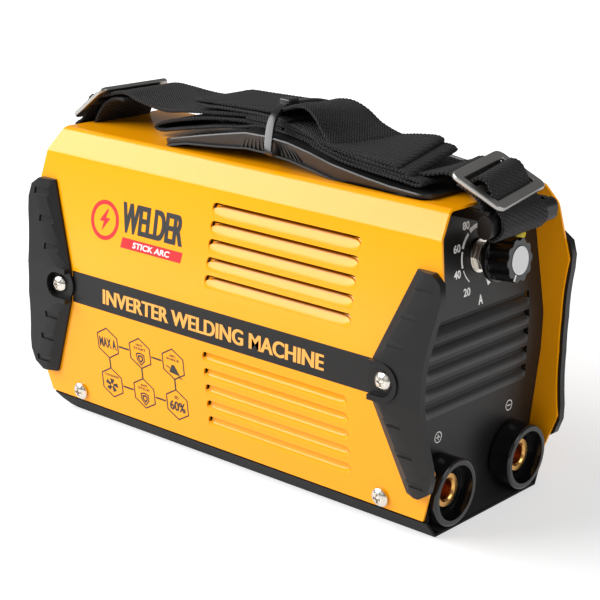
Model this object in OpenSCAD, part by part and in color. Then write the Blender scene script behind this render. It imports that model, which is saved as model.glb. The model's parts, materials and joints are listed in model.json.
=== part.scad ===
// Compact inverter stick welder with a bent sheet-steel case and a shoulder strap.
// Front panel faces -Y, length along Y, width along X, +Z up.
// Origin: centre of the underside, midway between the mid-height side screws.

/* [Case] */
// Length of the cover at mid height, front edge to rear edge
case_len = 238; // [215:1:286]
// Width of the case across the flat band at mid height
case_w = 106; // [100:1:128]
// Height from the floor to the flat top of the cover
case_h = 143.5; // [136:0.5:172]
// Height of the middle of the flat band above the floor
band_z = 70; // [66:0.5:74]
// Height of the flat band that carries the middle screws
band_h = 16; // [14:0.5:19]
// Lean of the sides above and below the flat band, in degrees
side_lean = 8.3; // [6:0.1:9.5]
// Height of the bevel between the sides and the top
bevel_drop = 10.5; // [8:0.5:13]
// Width of that bevel, seen from the front
bevel_run = 9; // [7:0.5:11]
// Radius of the two bends beside the bevel
bevel_r = 5; // [4:0.5:6]
// Sheet thickness of the cover, tray and panels
sheet_t = 1.2; // [1:0.1:1.5]
// How far the wings bulge past the middle of the cover's edge
wing_flare = 4.8; // [3:0.1:6]
// Height of the cover's bottom edge above the floor
skirt_z = 8.3; // [7:0.1:10]

/* [Side louvres] */
// Number of louvres above the band, and as many below it
louvre_count = 5; // [3:1:5]
// Length of one louvre
louvre_len = 85; // [60:1:100]
// Height of one louvre opening
louvre_h = 6.3; // [5:0.1:6.8]
// Distance from one louvre to the next
louvre_pitch = 8.3; // [7:0.1:8.5]
// Distance of the louvres' front ends from the front edge of the cover
louvre_front_gap = 40.5; // [34:0.5:50]

/* [Corner guards] */
// Thickness of the plastic corner guards
guard_t = 4; // [3.2:0.1:5]
// Distance of the middle screws from the cover's edge
guard_screw_inset = 19; // [17:0.5:22]
// Distance of the lower screws from the cover's edge
low_screw_inset = 24.3; // [22:0.1:30]
// Height of the lower screws above the floor
low_screw_z = 13.4; // [12.8:0.1:15]
// Head diameter of the case screws
screw_head_d = 8.8; // [8:0.1:9.6]

/* [Front panel] */
// Distance from the cover's edge back to the front and rear panels
panel_inset = 8.8; // [7:0.1:12]
// Lean of the upper part of the panels, in degrees
panel_lean = 5; // [3:0.5:7]
// Height of the bend in the panels above the middle of the band
panel_kink = 11; // [9:0.5:14]
// Distance between the two welding sockets
socket_pitch = 55.8; // [52:0.1:60]
// Height of the welding sockets above the floor
socket_z = 17.5; // [17.3:0.1:20]
// Outer diameter of the socket collars
collar_d = 30.4; // [28:0.1:31]
// Bore of the brass socket inserts
socket_bore_d = 9.2; // [9:0.1:10.4]
// Height of the knob's axis on the panel
knob_z = 115.5; // [112:0.5:118]
// Diameter of the knob over its lobes
knob_d = 19.4; // [17:0.1:22]

/* [Rear panel] */
// Size of the square cooling fan
fan_size = 80; // [70:1:80]
// Depth of the cooling fan
fan_depth = 25; // [20:1:25]
// Height of the fan's axis above the floor
fan_z = 84; // [83:0.5:86]
// Diameter of the cable that the gland takes
cable_d = 8; // [6:0.1:9]

/* [Strap] */
// Width of the webbing
strap_w = 38; // [34:0.5:40]
// Thickness of the webbing
strap_t = 1.8; // [1.5:0.1:2.2]
// Width of the shoulder pad
pad_w = 66; // [58:1:70]
// Length of the shoulder pad
pad_len = 154; // [130:1:160]

/* [Hidden] */
$fn = 48;

gap = 0.15;                 // clearance between parts that are fixed together
run_gap = 0.05;             // radial clearance of a running fit
eps = 0.01;
far = 400;                  // longer than the whole object

half_len = case_len / 2;
half_w = case_w / 2;
band_top = band_z + band_h / 2;
band_bot = band_z - band_h / 2;
lean_k = tan(side_lean);

// ---- side view of the cover: where its front and rear edges run
wing_peak_dz = 37.5;        // height of the two bulges above and below the band's middle
wing_top_cut = 9;           // height of the sloping cut at the wing's top corner
wing_top_y = half_len - 0.8;
top_edge_y = half_len - 3.5;
skirt_y = half_len - 2.1;
function mix(a, b, f) = a + (b - a) * f;
function wing_y(z) =
    abs(z - band_z) <= wing_peak_dz ? half_len + wing_flare * pow((z - band_z) / wing_peak_dz, 2)
    : z > band_z
      ? mix(half_len + wing_flare, wing_top_y,
            (z - band_z - wing_peak_dz) / (case_h - wing_top_cut - band_z - wing_peak_dz))
      : mix(half_len + wing_flare, skirt_y,
            (band_z - wing_peak_dz - z) / (band_z - wing_peak_dz - skirt_z));
wing_steps = 8;
function wing_edge(grow) = [
    for (i = [-wing_steps : wing_steps])
        let (z = band_z + wing_peak_dz * i / wing_steps) [wing_y(z) + grow, z]
];

// ---- cross-section of the case: leaning sides, a bevel and a flat top
// Half width of the case at a height, grown outwards by off
function side_x(z, off = 0) =
    half_w + off - lean_k * max(z - band_top, band_bot - z, 0);
bend_steps = 4;
bevel_angle = atan(bevel_run / bevel_drop);
bevel_foot = [side_x(case_h - bevel_drop), case_h - bevel_drop];
// Rounded corner at p, its outward direction turning from a0 to a1
function bend_corner(p, a0, a1, off) =
    let (mid = (a0 + a1) / 2, c = p - bevel_r / cos((a1 - a0) / 2) * [cos(mid), sin(mid)])
    [for (i = [0 : bend_steps])
        let (a = mix(a0, a1, i / bend_steps)) c + (bevel_r + off) * [cos(a), sin(a)]];
function bend_arc(off) = concat(
    bend_corner(bevel_foot, side_lean, bevel_angle, off),
    bend_corner(bevel_foot + [-bevel_run, bevel_drop], bevel_angle, 90, off));
function section_right(off, z0) = concat(
    [[side_x(z0, off), z0], [half_w + off, band_bot], [half_w + off, band_top]], bend_arc(off));
function mirrored(pts) = [for (i = [len(pts) - 1 : -1 : 0]) [-pts[i][0], pts[i][1]]];
module section(off, z0) {
    right = section_right(off, z0);
    polygon(concat(right, mirrored(right)));
}

// ---- helpers that stand a drawing up along X or Y
module along_y(len) translate([0, len / 2, 0]) rotate([90, 0, 0]) linear_extrude(len) children();
module along_x(len) translate([-len / 2, 0, 0]) rotate([90, 0, 90]) linear_extrude(len) children();
module rod_y(d, y0, y1) translate([0, y0, 0]) rotate([-90, 0, 0]) cylinder(d = d, h = y1 - y0);
module rod_x(d, x0, x1) translate([x0, 0, 0]) rotate([0, 90, 0]) cylinder(d = d, h = x1 - x0);
module both_sides() for (m = [0, 1]) mirror([m, 0, 0]) children();
module box_between(a, b) translate(a) cube(b - a);
module rounded_rect(size, r) {
    for (x = [-1, 1], y = [-1, 1])
        translate([x * (size[0] / 2 - r), y * (size[1] / 2 - r)]) circle(r);
    square([size[0] - 2 * r, size[1]], center = true);
    square([size[0], size[1] - 2 * r], center = true);
}
// Surface of the left side above the band: local X points into the case
module on_upper_side() translate([-half_w, 0, band_top]) rotate([0, side_lean, 0]) children();
module on_lower_side()
    translate([0, 0, 2 * band_z]) mirror([0, 0, 1]) on_upper_side() children();
// Front panel above its bend: local Z runs up the panel, local -Y points out
panel_y = half_len - panel_inset;
kink_z = band_z + panel_kink;
module on_upper_panel() translate([0, -panel_y, kink_z]) rotate([-panel_lean, 0, 0]) children();

// ---- screws
screw_shaft_d = 4;
screw_hole_d = 4.4;
screw_head_h = 3;
case_screw_len = 10;
low_screw_len = 7;
screw_y = half_len - guard_screw_inset;
low_screw_y = half_len - low_screw_inset;
cross_w = 1.1;
// A lower screw on the left: local Z points out of the leaning side
module at_low_screw(s) translate([-side_x(low_screw_z), s * low_screw_y, low_screw_z])
    rotate([0, -90 - side_lean, 0]) children();
// Pan head screw with a cross recess: head seated at Z = 0, shaft along -Z
module pan_screw(len, head_d = screw_head_d, shaft_d = screw_shaft_d, head_h = screw_head_h) {
    edge_h = head_h * 0.35;
    difference() {
        union() {
            cylinder(d = head_d, h = edge_h);
            intersection() {
                dome_r = (pow(head_d / 2, 2) + pow(head_h - edge_h, 2)) / (2 * (head_h - edge_h));
                translate([0, 0, head_h - dome_r]) sphere(dome_r);
                translate([0, 0, edge_h - eps]) cylinder(d = head_d, h = head_h);
            }
            translate([0, 0, -len]) cylinder(d = shaft_d, h = len + eps);
        }
        for (a = [0, 90]) rotate(a)
            translate([-head_d / 4, -cross_w / 2, head_h * 0.45]) cube([head_d / 2, cross_w, head_h]);
    }
}

// ================= cover =================
louvre_depth = 2.6;
louvre_front_y = -(half_len - louvre_front_gap);
louvre_high_first = 9.4;   // from the band up to the lower edge of the nearest louvre
louvre_low_first = 5;     // from the band down to the upper edge of the nearest louvre
module side_outline(grow) {
    top = [[wing_top_y, case_h - wing_top_cut], [top_edge_y, case_h + 1]];
    rear = concat([[skirt_y, skirt_z]], wing_edge(grow), top);
    polygon(concat(rear, [for (i = [len(rear) - 1 : -1 : 0]) [-rear[i][0], rear[i][1]]]));
}
module louvre_window() {
    r = 2;
    translate([-3 * sheet_t, louvre_front_y + r, 0]) cube([6 * sheet_t, louvre_len - 2 * r, louvre_h]);
    for (y = [louvre_front_y + r, louvre_front_y + louvre_len - r], z = [r, louvre_h - r])
        translate([0, y, z]) rod_x(2 * r, -3 * sheet_t, 3 * sheet_t);
    translate([-3 * sheet_t, louvre_front_y, r]) cube([6 * sheet_t, louvre_len, louvre_h - 2 * r]);
}
module louvre_blade() {
    blade = [[0, -eps], [sheet_t, -eps], [louvre_depth + sheet_t / 2, louvre_h - 1],
             [louvre_depth - sheet_t / 2, louvre_h - 1]];
    translate([0, louvre_front_y + 1, 0]) rotate([-90, 0, 0]) linear_extrude(louvre_len - 2)
        polygon([for (p = blade) [p[0], -p[1]]]);
}
module side_louvres(with_blade) {
    on_upper_side() for (i = [0 : louvre_count - 1])
        translate([0, 0, louvre_high_first + i * louvre_pitch])
            if (with_blade) louvre_blade(); else louvre_window();
    on_lower_side() for (i = [0 : louvre_count - 1])
        translate([0, 0, louvre_low_first + i * louvre_pitch + louvre_h]) mirror([0, 0, 1])
            if (with_blade) louvre_blade(); else louvre_window();
}
module cover() color([1, 0.72, 0.02]) {
    difference() {
        intersection() {
            along_y(far) section(0, skirt_z);
            along_x(far) side_outline(0);
        }
        along_y(far) section(-sheet_t, -1);
        both_sides() {
            side_louvres(false);
            for (s = [-1, 1]) {
                translate([0, s * screw_y, band_z]) rod_x(screw_hole_d, -far / 2, 0);
                at_low_screw(s) cylinder(d = screw_hole_d, h = 30, center = true);
            }
        }
    }
    both_sides() side_louvres(true);
}

// ================= base tray =================
tray_floor_half = side_x(skirt_z) - 5.7;
tray_chamfer_z = skirt_z - 0.8;
tray_flange_z = low_screw_z + 4;
tray_lip_z = 14.6;
tray_front_y = half_len + 0.8;
tray_rear_r = 12;
tray_rear_y = half_len - 2.5;
module tray_section(inset) {
    step = sheet_t + gap;
    right = [[tray_floor_half - inset * 0.6, inset], [side_x(tray_chamfer_z) - inset, tray_chamfer_z],
             [side_x(skirt_z, -step) - inset, skirt_z - gap],
             [side_x(tray_flange_z, -step) - inset, tray_flange_z + (inset > 0 ? 1 : 0)]];
    polygon(concat(right, mirrored(right)));
}
module tray_outline(inset) {
    front = inset > 0 ? -far : -tray_front_y;
    r = tray_rear_r - inset;
    arc = [for (i = [0 : bend_steps]) let (a = -90 + 90 * i / bend_steps)
        [tray_rear_y - tray_rear_r + r * cos(a), tray_rear_r + r * sin(a)]];
    up = inset > 0 ? 1 : 0;
    polygon(concat([[front, inset]], arc,
        [[tray_rear_y - inset, tray_lip_z + up], [half_len - 6, tray_flange_z + up],
         [-half_len + 6, tray_flange_z + up],
         [inset > 0 ? -far : -tray_front_y + 1.5, tray_lip_z + up],
         [inset > 0 ? -far : -tray_front_y + 1.5, skirt_z]]));
}
module tray_solid(inset) intersection() {
    along_y(far * 3) tray_section(inset);
    along_x(far) tray_outline(inset);
}
standoff_x = 30;
standoff_y0 = -66;
standoff_y1 = 73;
standoff_h = 9;
module at_standoffs() for (x = [-1, 1], y = [standoff_y0, standoff_y1])
    translate([x * standoff_x, y, 0]) children();
module base_tray() color([0.09, 0.09, 0.09]) difference() {
    tray_solid(0);
    tray_solid(sheet_t);
    both_sides() for (s = [-1, 1])
        at_low_screw(s) cylinder(d = screw_shaft_d + 2 * run_gap, h = 30, center = true);
    at_standoffs() translate([0, 0, -1]) cylinder(d = 3.4, h = 5);
}

// ================= panels =================
panel_top_gap = 0.4;
panel_flare_z = 16;         // height at which the foot of the panel starts to flare out
panel_flare = tray_front_y - 0.4 - panel_y;
flare_steps = 6;
// Side view of a panel's outer face, from its foot to its top, distance forwards first
function panel_face(grow, flare) = concat(
    [for (i = [0 : flare_steps]) let (f = i / flare_steps)
        [panel_y + flare * pow(1 - f, 2) + grow,
         mix(sheet_t + gap, panel_flare_z, f)]],
    [[panel_y + grow, kink_z],
     [panel_y - (case_h - kink_z) * tan(panel_lean) + grow, case_h]]);
module panel_profile(flare) {
    outer = panel_face(0, flare);
    inner = panel_face(-sheet_t, flare);
    polygon(concat([for (p = outer) [-p[0], p[1]]],
        [for (i = [len(inner) - 1 : -1 : 0]) [-inner[i][0], inner[i][1]]]));
}
module panel_width() {
    inset = -sheet_t - gap;
    difference() {
        intersection() {
            section(inset, 0);
            translate([-far / 2, 0]) square([far, case_h - sheet_t - panel_top_gap]);
        }
        // the corners of the foot clear the tray's flanges and chamfers
        for (m = [0, 1]) mirror([m, 0]) polygon([
            [tray_floor_half - 2.2, -1], [far, -1], [far, tray_flange_z + 1],
            [side_x(tray_flange_z, inset - sheet_t - 2 * gap), tray_flange_z + 1],
            [side_x(skirt_z, inset - sheet_t - 2 * gap), skirt_z],
            [tray_floor_half - 2.2, sheet_t + gap]]);
    }
}
tab_len = 20;
tab_h = 22;
module panel_tabs() both_sides() difference() {
    x = half_w - sheet_t - gap;
    box_between([-x, -panel_y + sheet_t / 2, band_z - tab_h / 2 + 3.2],
                [-x + sheet_t, -panel_y + tab_len, band_z + tab_h / 2 - 3.2]);
    translate([0, -screw_y, band_z]) rod_x(screw_shaft_d + 2 * run_gap, -far / 2, 0);
}
module panel_blank(flare) {
    intersection() {
        along_x(far) panel_profile(flare);
        along_y(far) panel_width();
    }
    panel_tabs();
}
front_louvre_count = 5;
front_louvre_pitch = 8.7;
front_louvre_len = 79;
front_louvre_h = 7.2;
front_louvre_top = 92;      // upper edge of the highest front louvre
front_louvre_in = 2.4;
module front_louvre(cut) {
    w = front_louvre_len - (cut ? 0 : 2);
    if (cut) box_between([-w / 2, -panel_y - 2, -front_louvre_h], [w / 2, -panel_y + 4, 0]);
    else translate([-w / 2, -panel_y, 0]) rotate([90, 0, 90]) linear_extrude(w)
        polygon([[0, -front_louvre_h - eps], [sheet_t, -front_louvre_h - eps],
                 [front_louvre_in + sheet_t / 2, -1], [front_louvre_in - sheet_t / 2, -1]]);
}
function front_louvre_y(z) = max(z - kink_z, 0) * tan(panel_lean);
module front_louvres(cut) for (i = [0 : front_louvre_count - 1]) {
    z = front_louvre_top - i * front_louvre_pitch;
    translate([0, front_louvre_y(z), z]) front_louvre(cut);
}
bushing_d = 7;
indicator_x = 31;
indicator_z = 119.5;
indicator_d = 8;
bar_leg_x = strap_w / 2 + 1.8;
bar_z = 135.5;
leg_z = bar_z + 3.6;        // the bars' legs, high under the top of the cover
bar_screw_d = 3;
bar_front_y = half_len + 6.8;
knob_up = (knob_z - kink_z) / cos(panel_lean);
indicator_up = (indicator_z - kink_z) / cos(panel_lean);
insert_flange_d = 19;
collar_neck_d = 22;
module front_panel() color([0.11, 0.11, 0.11]) {
    difference() {
        panel_blank(panel_flare);
        front_louvres(true);
        both_sides() translate([socket_pitch / 2, 0, socket_z])
            rod_y(collar_neck_d + 2 * gap, -far / 2, -panel_y + 10);
        on_upper_panel() {
            translate([0, 0, knob_up]) rod_y(bushing_d + 2 * gap, -5, 5);
            translate([indicator_x, 0, indicator_up]) rod_y(indicator_d + 2 * gap, -5, 5);
        }
        both_sides() translate([bar_leg_x, 0, leg_z]) rod_y(bar_screw_d + 2 * gap, -far / 2, -60);
    }
    front_louvres(false);
}

fan_hole_d = fan_size - 6;
fan_screw_pitch = fan_size - 8.5;
fan_screw_d = 3.6;
switch_x = -20;
switch_z = 27;
switch_w = 19;              // across, along X
switch_h = 27;              // along Z
gland_x = 21;
gland_z = 26;
gland_thread_d = cable_d + 8;
earth_x = 0.5;
earth_z = 21;
earth_d = 5;
rear_y = panel_y;           // outer face of the rear panel below its bend
module rear_panel() color([0.11, 0.11, 0.11]) difference() {
    mirror([0, 1, 0]) panel_blank(0);
    // the foot stands inside the tray's rounded rear edge
    box_between([-far, 0, -1], [far, far, tray_rear_r / 3]);
    translate([0, 0, fan_z]) rod_y(fan_hole_d, 0, far / 2);
    at_fan_screws() rod_y(fan_screw_d + 0.3, 0, far / 2);
    box_between([switch_x - switch_w / 2 - gap, 0, switch_z - switch_h / 2 - gap],
                [switch_x + switch_w / 2 + gap, far, switch_z + switch_h / 2 + gap]);
    translate([gland_x, 0, gland_z]) rod_y(gland_thread_d + 2 * gap, 0, far / 2);
    translate([earth_x, 0, earth_z]) rod_y(earth_d + 2 * gap, 0, far / 2);
    both_sides() translate([bar_leg_x, 0, leg_z]) rod_y(bar_screw_d + 2 * gap, 60, far / 2);
}

// ================= corner guards =================
guard_top = wing_peak_dz + 12;      // half height of a guard
guard_lap = 0.8;
guard_edge_w = 9.1;                 // inset of the guard's narrow ends from the cover's edge
guard_tip_w = 26;                   // inset of the guard's tip at the band
guard_edge_t = 1.2;
bevel_w = 5.8;
guard_slope = (guard_tip_w - guard_edge_w) / (guard_top - band_h / 2);
boss_r = 8.8;
boss_rise = 0.8;
boss_open_y = half_len - 25.5;
pocket_r = 6.4;
pocket_floor = 1.4;
slot_len = 10.4;
slot_h = 3.2;
slot_depth = 0.7;
slot_first = 17;
slot_pitch = 13;
slot_inset = 8.4;
module guard_outline() {
    outer = [for (i = [-7 : 7]) let (dz = (guard_top - 3.5) * i / 7)
        [-(wing_y(band_z + dz) + guard_lap), band_z + dz]];
    inner = [[-(half_len - guard_edge_w), band_z + guard_top], [-(half_len - guard_tip_w), band_top],
             [-(half_len - guard_tip_w), band_bot], [-(half_len - guard_edge_w), band_z - guard_top]];
    lo = [-(wing_y(band_z - guard_top) - 2.5), band_z - guard_top];
    hi = [-(wing_y(band_z + guard_top) - 2.5), band_z + guard_top];
    polygon(concat([lo], outer, [hi], inner));
}
// Cutter that slopes the guard's inner side down to its thin edge, above the band
module guard_bevel() on_upper_side()
    translate([-guard_t, -(half_len - guard_tip_w) - bevel_w, 0]) rotate([atan(guard_slope), 0, 0])
        rotate([0, 0, -atan((guard_t - guard_edge_t) / bevel_w)])
            translate([-20, 0, -30]) cube([20, 40, 90]);
module guard_slots() on_upper_side() for (i = [0 : 2]) {
    up = slot_first + i * slot_pitch;
    y = -(half_len - guard_tip_w + slot_inset + guard_slope * (up - band_h / 2));
    translate([-guard_t - 5 + slot_depth, y, up - band_h / 2]) {
        translate([0, -slot_len / 2, -slot_h / 2]) cube([5, slot_len - slot_h / 2, slot_h]);
        translate([0, slot_len / 2 - slot_h / 2, 0]) rod_x(slot_h, 0, 5);
    }
}
module boss_shape(r, open_y) {
    translate([-screw_y, band_z]) circle(r);
    translate([-screw_y, band_z - r]) square([screw_y - open_y, 2 * r]);
}
module flip_about_band() translate([0, 0, 2 * band_z]) mirror([0, 0, 1]) children();
module guard() difference() {
    union() {
        difference() {
            intersection() {
                along_y(far) difference() { section(guard_t, 0); section(gap, -1); }
                along_x(far) guard_outline();
                translate([-far, -far, 0]) cube([far, far * 2, far]);
            }
            guard_bevel();
            flip_about_band() guard_bevel();
            guard_slots();
            flip_about_band() guard_slots();
        }
        translate([-half_w - guard_t - boss_rise, 0, 0]) rotate([90, 0, 90])
            linear_extrude(guard_t + boss_rise - gap) boss_shape(boss_r, boss_open_y);
    }
    translate([-half_w - pocket_floor - 20, 0, 0]) rotate([90, 0, 90])
        linear_extrude(20) boss_shape(pocket_r, boss_open_y - 5);
    translate([0, -screw_y, band_z]) rod_x(screw_hole_d, -far / 2, 0);
}
module guard_front_left() color([0.13, 0.13, 0.13]) guard();
module guard_front_right() color([0.13, 0.13, 0.13]) mirror([1, 0, 0]) guard();
module guard_rear_left() color([0.13, 0.13, 0.13]) mirror([0, 1, 0]) guard();
module guard_rear_right() color([0.13, 0.13, 0.13]) mirror([1, 0, 0]) mirror([0, 1, 0]) guard();
module guard_screws() color([0.8, 0.79, 0.76]) both_sides() for (s = [-1, 1])
    translate([-half_w - pocket_floor, s * screw_y, band_z]) rotate([0, -90, 0])
        pan_screw(case_screw_len);
module cover_screws() color([0.8, 0.79, 0.76]) both_sides() for (s = [-1, 1])
    at_low_screw(s) translate([0, 0, gap]) pan_screw(low_screw_len);

// ================= welding sockets =================
collar_out = 11.5;
collar_rim_r = 1.2;
cup_d = collar_d - 5.6;
cup_depth = 6.2;
insert_d = 15.4;
insert_bore_len = 14;
insert_face_in = 4.9;       // how far the brass face sits behind the collar's rim
insert_tail = 22;
nut_d = 26;
nut_h = 5;
collar_face_y = -(panel_y + collar_out);
module at_socket(s) translate([s * socket_pitch / 2, 0, socket_z]) children();
module socket_collar() difference() {
    union() {
        difference() {
            translate([0, -panel_y - flare_room, 0]) rotate([90, 0, 0]) rotate_extrude() {
                square([collar_d / 2, collar_out - flare_room - collar_rim_r]);
                square([collar_d / 2 - collar_rim_r, collar_out - flare_room]);
                translate([collar_d / 2 - collar_rim_r, collar_out - flare_room - collar_rim_r])
                    circle(collar_rim_r);
            }
            translate([0, -gap, -socket_z]) foot_solid();
        }
        rod_y(collar_neck_d, collar_face_y + cup_depth, -panel_y + 6);
    }
    rod_y(cup_d, -far / 2, collar_face_y + cup_depth);
    rod_y(cup_d - 5, -far / 2, collar_face_y + cup_depth + 1.6);
    rod_y(insert_d + 2 * gap, -far / 2, far / 2);
}
flare_room = 1.2;           // the collar's back stays clear of the panel's flared foot
// Everything behind the face of the panel's flared foot
module foot_solid() along_x(far) polygon(concat(
    [for (p = panel_face(0, panel_flare)) [-p[0], p[1]]],
    [[-panel_y + 8, case_h], [-panel_y + 8, -5], [-panel_y - panel_flare, -5]]));
module welding_collar(s) color([0.08, 0.08, 0.08]) at_socket(s) socket_collar();
module positive_socket_collar() welding_collar(-1);
module negative_socket_collar() welding_collar(1);
module socket_insert() difference() {
    rod_y(insert_d, collar_face_y + insert_face_in, -panel_y + insert_tail);
    rod_y(socket_bore_d, -far / 2, collar_face_y + insert_face_in + insert_bore_len);
    translate([0, collar_face_y + insert_face_in - eps, 0]) rotate([-90, 0, 0])
        cylinder(d1 = socket_bore_d + 2, d2 = socket_bore_d, h = 1);
}
module positive_socket_insert() color([0.85, 0.6, 0.3]) at_socket(-1) socket_insert();
module negative_socket_insert() color([0.85, 0.6, 0.3]) at_socket(1) socket_insert();
module socket_lock_nuts() color([0.8, 0.65, 0.35]) both_sides() at_socket(1) difference() {
    translate([0, -panel_y + 6 + gap, 0]) rotate([-90, 0, 0]) cylinder(d = nut_d, h = nut_h, $fn = 6);
    rod_y(insert_d + 2 * gap, -far / 2, far / 2);
}

// ================= indicator and current control =================
lens_out = 3.4;
module indicator_holder() color([0.1, 0.1, 0.1]) on_upper_panel()
    translate([indicator_x, 0, indicator_up]) difference() {
        union() {
            rod_y(indicator_d + 1.6, -1, 0);
            rod_y(indicator_d, -eps, 8);
        }
        rod_y(indicator_d - 1.6, -5, 20);
    }
module indicator_lens() color([0.9, 0.8, 0.1]) on_upper_panel()
    translate([indicator_x, 0, indicator_up]) {
        rod_y(indicator_d - 1.9, -lens_out + 2, 7);
        translate([0, -lens_out + 3, 0]) sphere(d = indicator_d - 1.9);
    }
pot_d = 17;
pot_depth = 9;
washer_d = 15;
washer_t = 1;
pot_nut_d = 12.4;
pot_nut_t = 2.6;
shaft_d = 6;
knob_cap_d = 12.6;          // metal disc in the knob's face
knob_base_out = 8.4;        // from the panel to the knob's skirt
knob_face_out = 21;
skirt_h = 2.2;
lobes = 10;
bushing_out = 5.5;
module at_knob() on_upper_panel() translate([0, 0, knob_up]) children();
module potentiometer() color([0.25, 0.3, 0.35]) at_knob() difference() {
    union() {
        rod_y(bushing_d, -bushing_out, sheet_t + 2);
        rod_y(pot_d, sheet_t + 1, sheet_t + 1 + pot_depth);
        for (x = [-1, 0, 1]) translate([x * 4 - 0.6, sheet_t + 3, -pot_d / 2 - 5]) cube([1.2, 0.6, 6]);
    }
    rod_y(shaft_d + 2 * run_gap, -10, 8);
}
module pot_nut() color([0.75, 0.75, 0.76]) at_knob() difference() {
    union() {
        rod_y(washer_d, -gap - washer_t, -gap);
        translate([0, -gap - washer_t + eps, 0]) rotate([90, 0, 0])
            cylinder(d = pot_nut_d, h = pot_nut_t, $fn = 6);
    }
    rod_y(bushing_d + 2 * gap, -10, 2);
}
module pot_shaft() color([0.7, 0.7, 0.7]) at_knob() rod_y(shaft_d, -knob_face_out + 4, 7.5);
module current_knob() color([0.07, 0.07, 0.07]) at_knob() difference() {
    union() {
        rod_y(knob_d + 2, -knob_base_out - skirt_h, -knob_base_out);
        difference() {
            rod_y(knob_d, -knob_face_out, -knob_base_out - skirt_h / 2);
            for (i = [0 : lobes - 1]) rotate([0, (i + 0.5) * 360 / lobes, 0])
                translate([knob_d / 2 + 1.5, 0, 0]) rod_y(5, -30, 0);
        }
    }
    rod_y(shaft_d + 0.02, -knob_face_out + 4 - gap, 0);
    rod_y(knob_cap_d + 2 * gap, -30, -knob_face_out + 0.8);
}
module knob_cap() color([0.85, 0.85, 0.86]) at_knob()
    rod_y(knob_cap_d, -knob_face_out - 0.3, -knob_face_out + 0.8 - gap / 2);

// ================= strap =================
bar_t = 7;
bar_h = 10;
bar_half = strap_w / 2 + 6.4;
strap_gap = 0.4;
buckle_w = strap_w + 9.6;
buckle_len = 27;
buckle_t = 2.2;
buckle_rail = 5;
buckle_front_pitch = 27.5;
buckle_front_yaw = 11;
buckle_front_roll = -2.7;
buckle_rear_pitch = 38;
buckle_front_at = [-2, -half_len + 2.7, case_h + 6.8];
buckle_rear_at = [0, half_len - 5.7, case_h + 10.2];
pad_y = -25;
pad_rise = 9;
pad_t = 4.4;
pad_foot_z = case_h + 0.3;
pad_r = (pow(pad_len / 2, 2) + pow(pad_rise, 2)) / (2 * pad_rise);
pad_top_z = pad_foot_z + pad_t + pad_rise;
bundle_top_z = case_h + 21;
tie_y = -14;
tie_w = 4.6;
tie_t = 1.4;
// A bar with an oval section, on two short legs that stand on a panel
module strap_bar() translate([0, 0, bar_z]) along_x(2 * bar_half)
    rounded_rect([bar_t, bar_h], bar_t / 2 - 0.1);
leg_w = 3;
leg_h = 4.4;
bar_rear_y = bar_front_y - 2;
module bar_with_legs(bar_y) translate([0, -bar_y, 0]) {
    strap_bar();
    both_sides() box_between([bar_leg_x - leg_w / 2, 0, leg_z - leg_h / 2],
        [bar_leg_x + leg_w / 2, bar_y - panel_y + (leg_z - leg_h / 2 - kink_z) * tan(panel_lean) - gap,
         leg_z + leg_h / 2]);
}
module strap_bar_front() color([0.07, 0.07, 0.07]) bar_with_legs(bar_front_y);
module strap_bar_rear() color([0.07, 0.07, 0.07]) mirror([0, 1, 0]) bar_with_legs(bar_rear_y);
// Flat three-bar buckle, lying in the XY plane
module buckle() linear_extrude(buckle_t, center = true) difference() {
    rounded_rect([buckle_w, buckle_len], 4);
    slot = (buckle_len - 2 * buckle_rail - 4) / 2;
    for (s = [-1, 1]) translate([0, s * (slot / 2 + 2)]) square([strap_w + 1, slot], center = true);
}
module buckle_front() color([0.7, 0.69, 0.67]) translate(buckle_front_at)
    rotate([0, 0, buckle_front_yaw]) rotate([buckle_front_pitch, 0, 0])
    rotate([0, buckle_front_roll, 0]) buckle();
module buckle_rear() color([0.7, 0.69, 0.67]) translate(buckle_rear_at)
    rotate([-buckle_rear_pitch, 0, 0]) buckle();
loop_in = bar_t / 2 + strap_gap;
loop_out = loop_in + strap_t;
// Webbing folded round a bar: a U with its legs standing up
module strap_loop(leg_h) along_x(strap_w - 1) difference() {
    union() {
        circle(loop_out);
        translate([-loop_out, 0]) square([2 * loop_out, leg_h]);
    }
    circle(loop_in);
    translate([-loop_in, 0]) square([2 * loop_in, leg_h + 1]);
}
loop_z = bar_z - (bar_h - bar_t) / 2;
module strap_loop_front() color([0.08, 0.08, 0.08])
    translate([0, -bar_front_y, loop_z]) strap_loop(6);
module strap_loop_rear() color([0.08, 0.08, 0.08])
    translate([0, bar_rear_y, loop_z]) strap_loop(7.5);
// Slab of webbing between a buckle and the bundle, from point a to point b in the YZ plane
module strap_run(a, b, xa, xb) hull() {
    translate([xa - strap_w / 2, a[0] - 0.5, a[1] - strap_t]) cube([strap_w, 1, 2 * strap_t]);
    translate([xb - strap_w / 2, b[0] - 0.5, b[1] - strap_t]) cube([strap_w, 1, 2 * strap_t]);
}
bundle_front_y = pad_y - 66;
bundle_rear_y = pad_y + 87;
module strap_run_front() color([0.08, 0.08, 0.08])
    strap_run([-half_len + 20, case_h + 10.5], [bundle_front_y - 1.5, case_h + 13], 0, 0);
module strap_run_rear() color([0.08, 0.08, 0.08])
    strap_run([half_len - 18.5, case_h + 19], [bundle_rear_y + 1.5, case_h + 17], 0, 0);
module strap_bundle() color([0.08, 0.08, 0.08]) difference() {
    box_between([-strap_w / 2, bundle_front_y, case_h + 1.5],
                [strap_w / 2, bundle_rear_y, bundle_top_z]);
    pad_cylinder(strap_gap);
}
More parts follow.
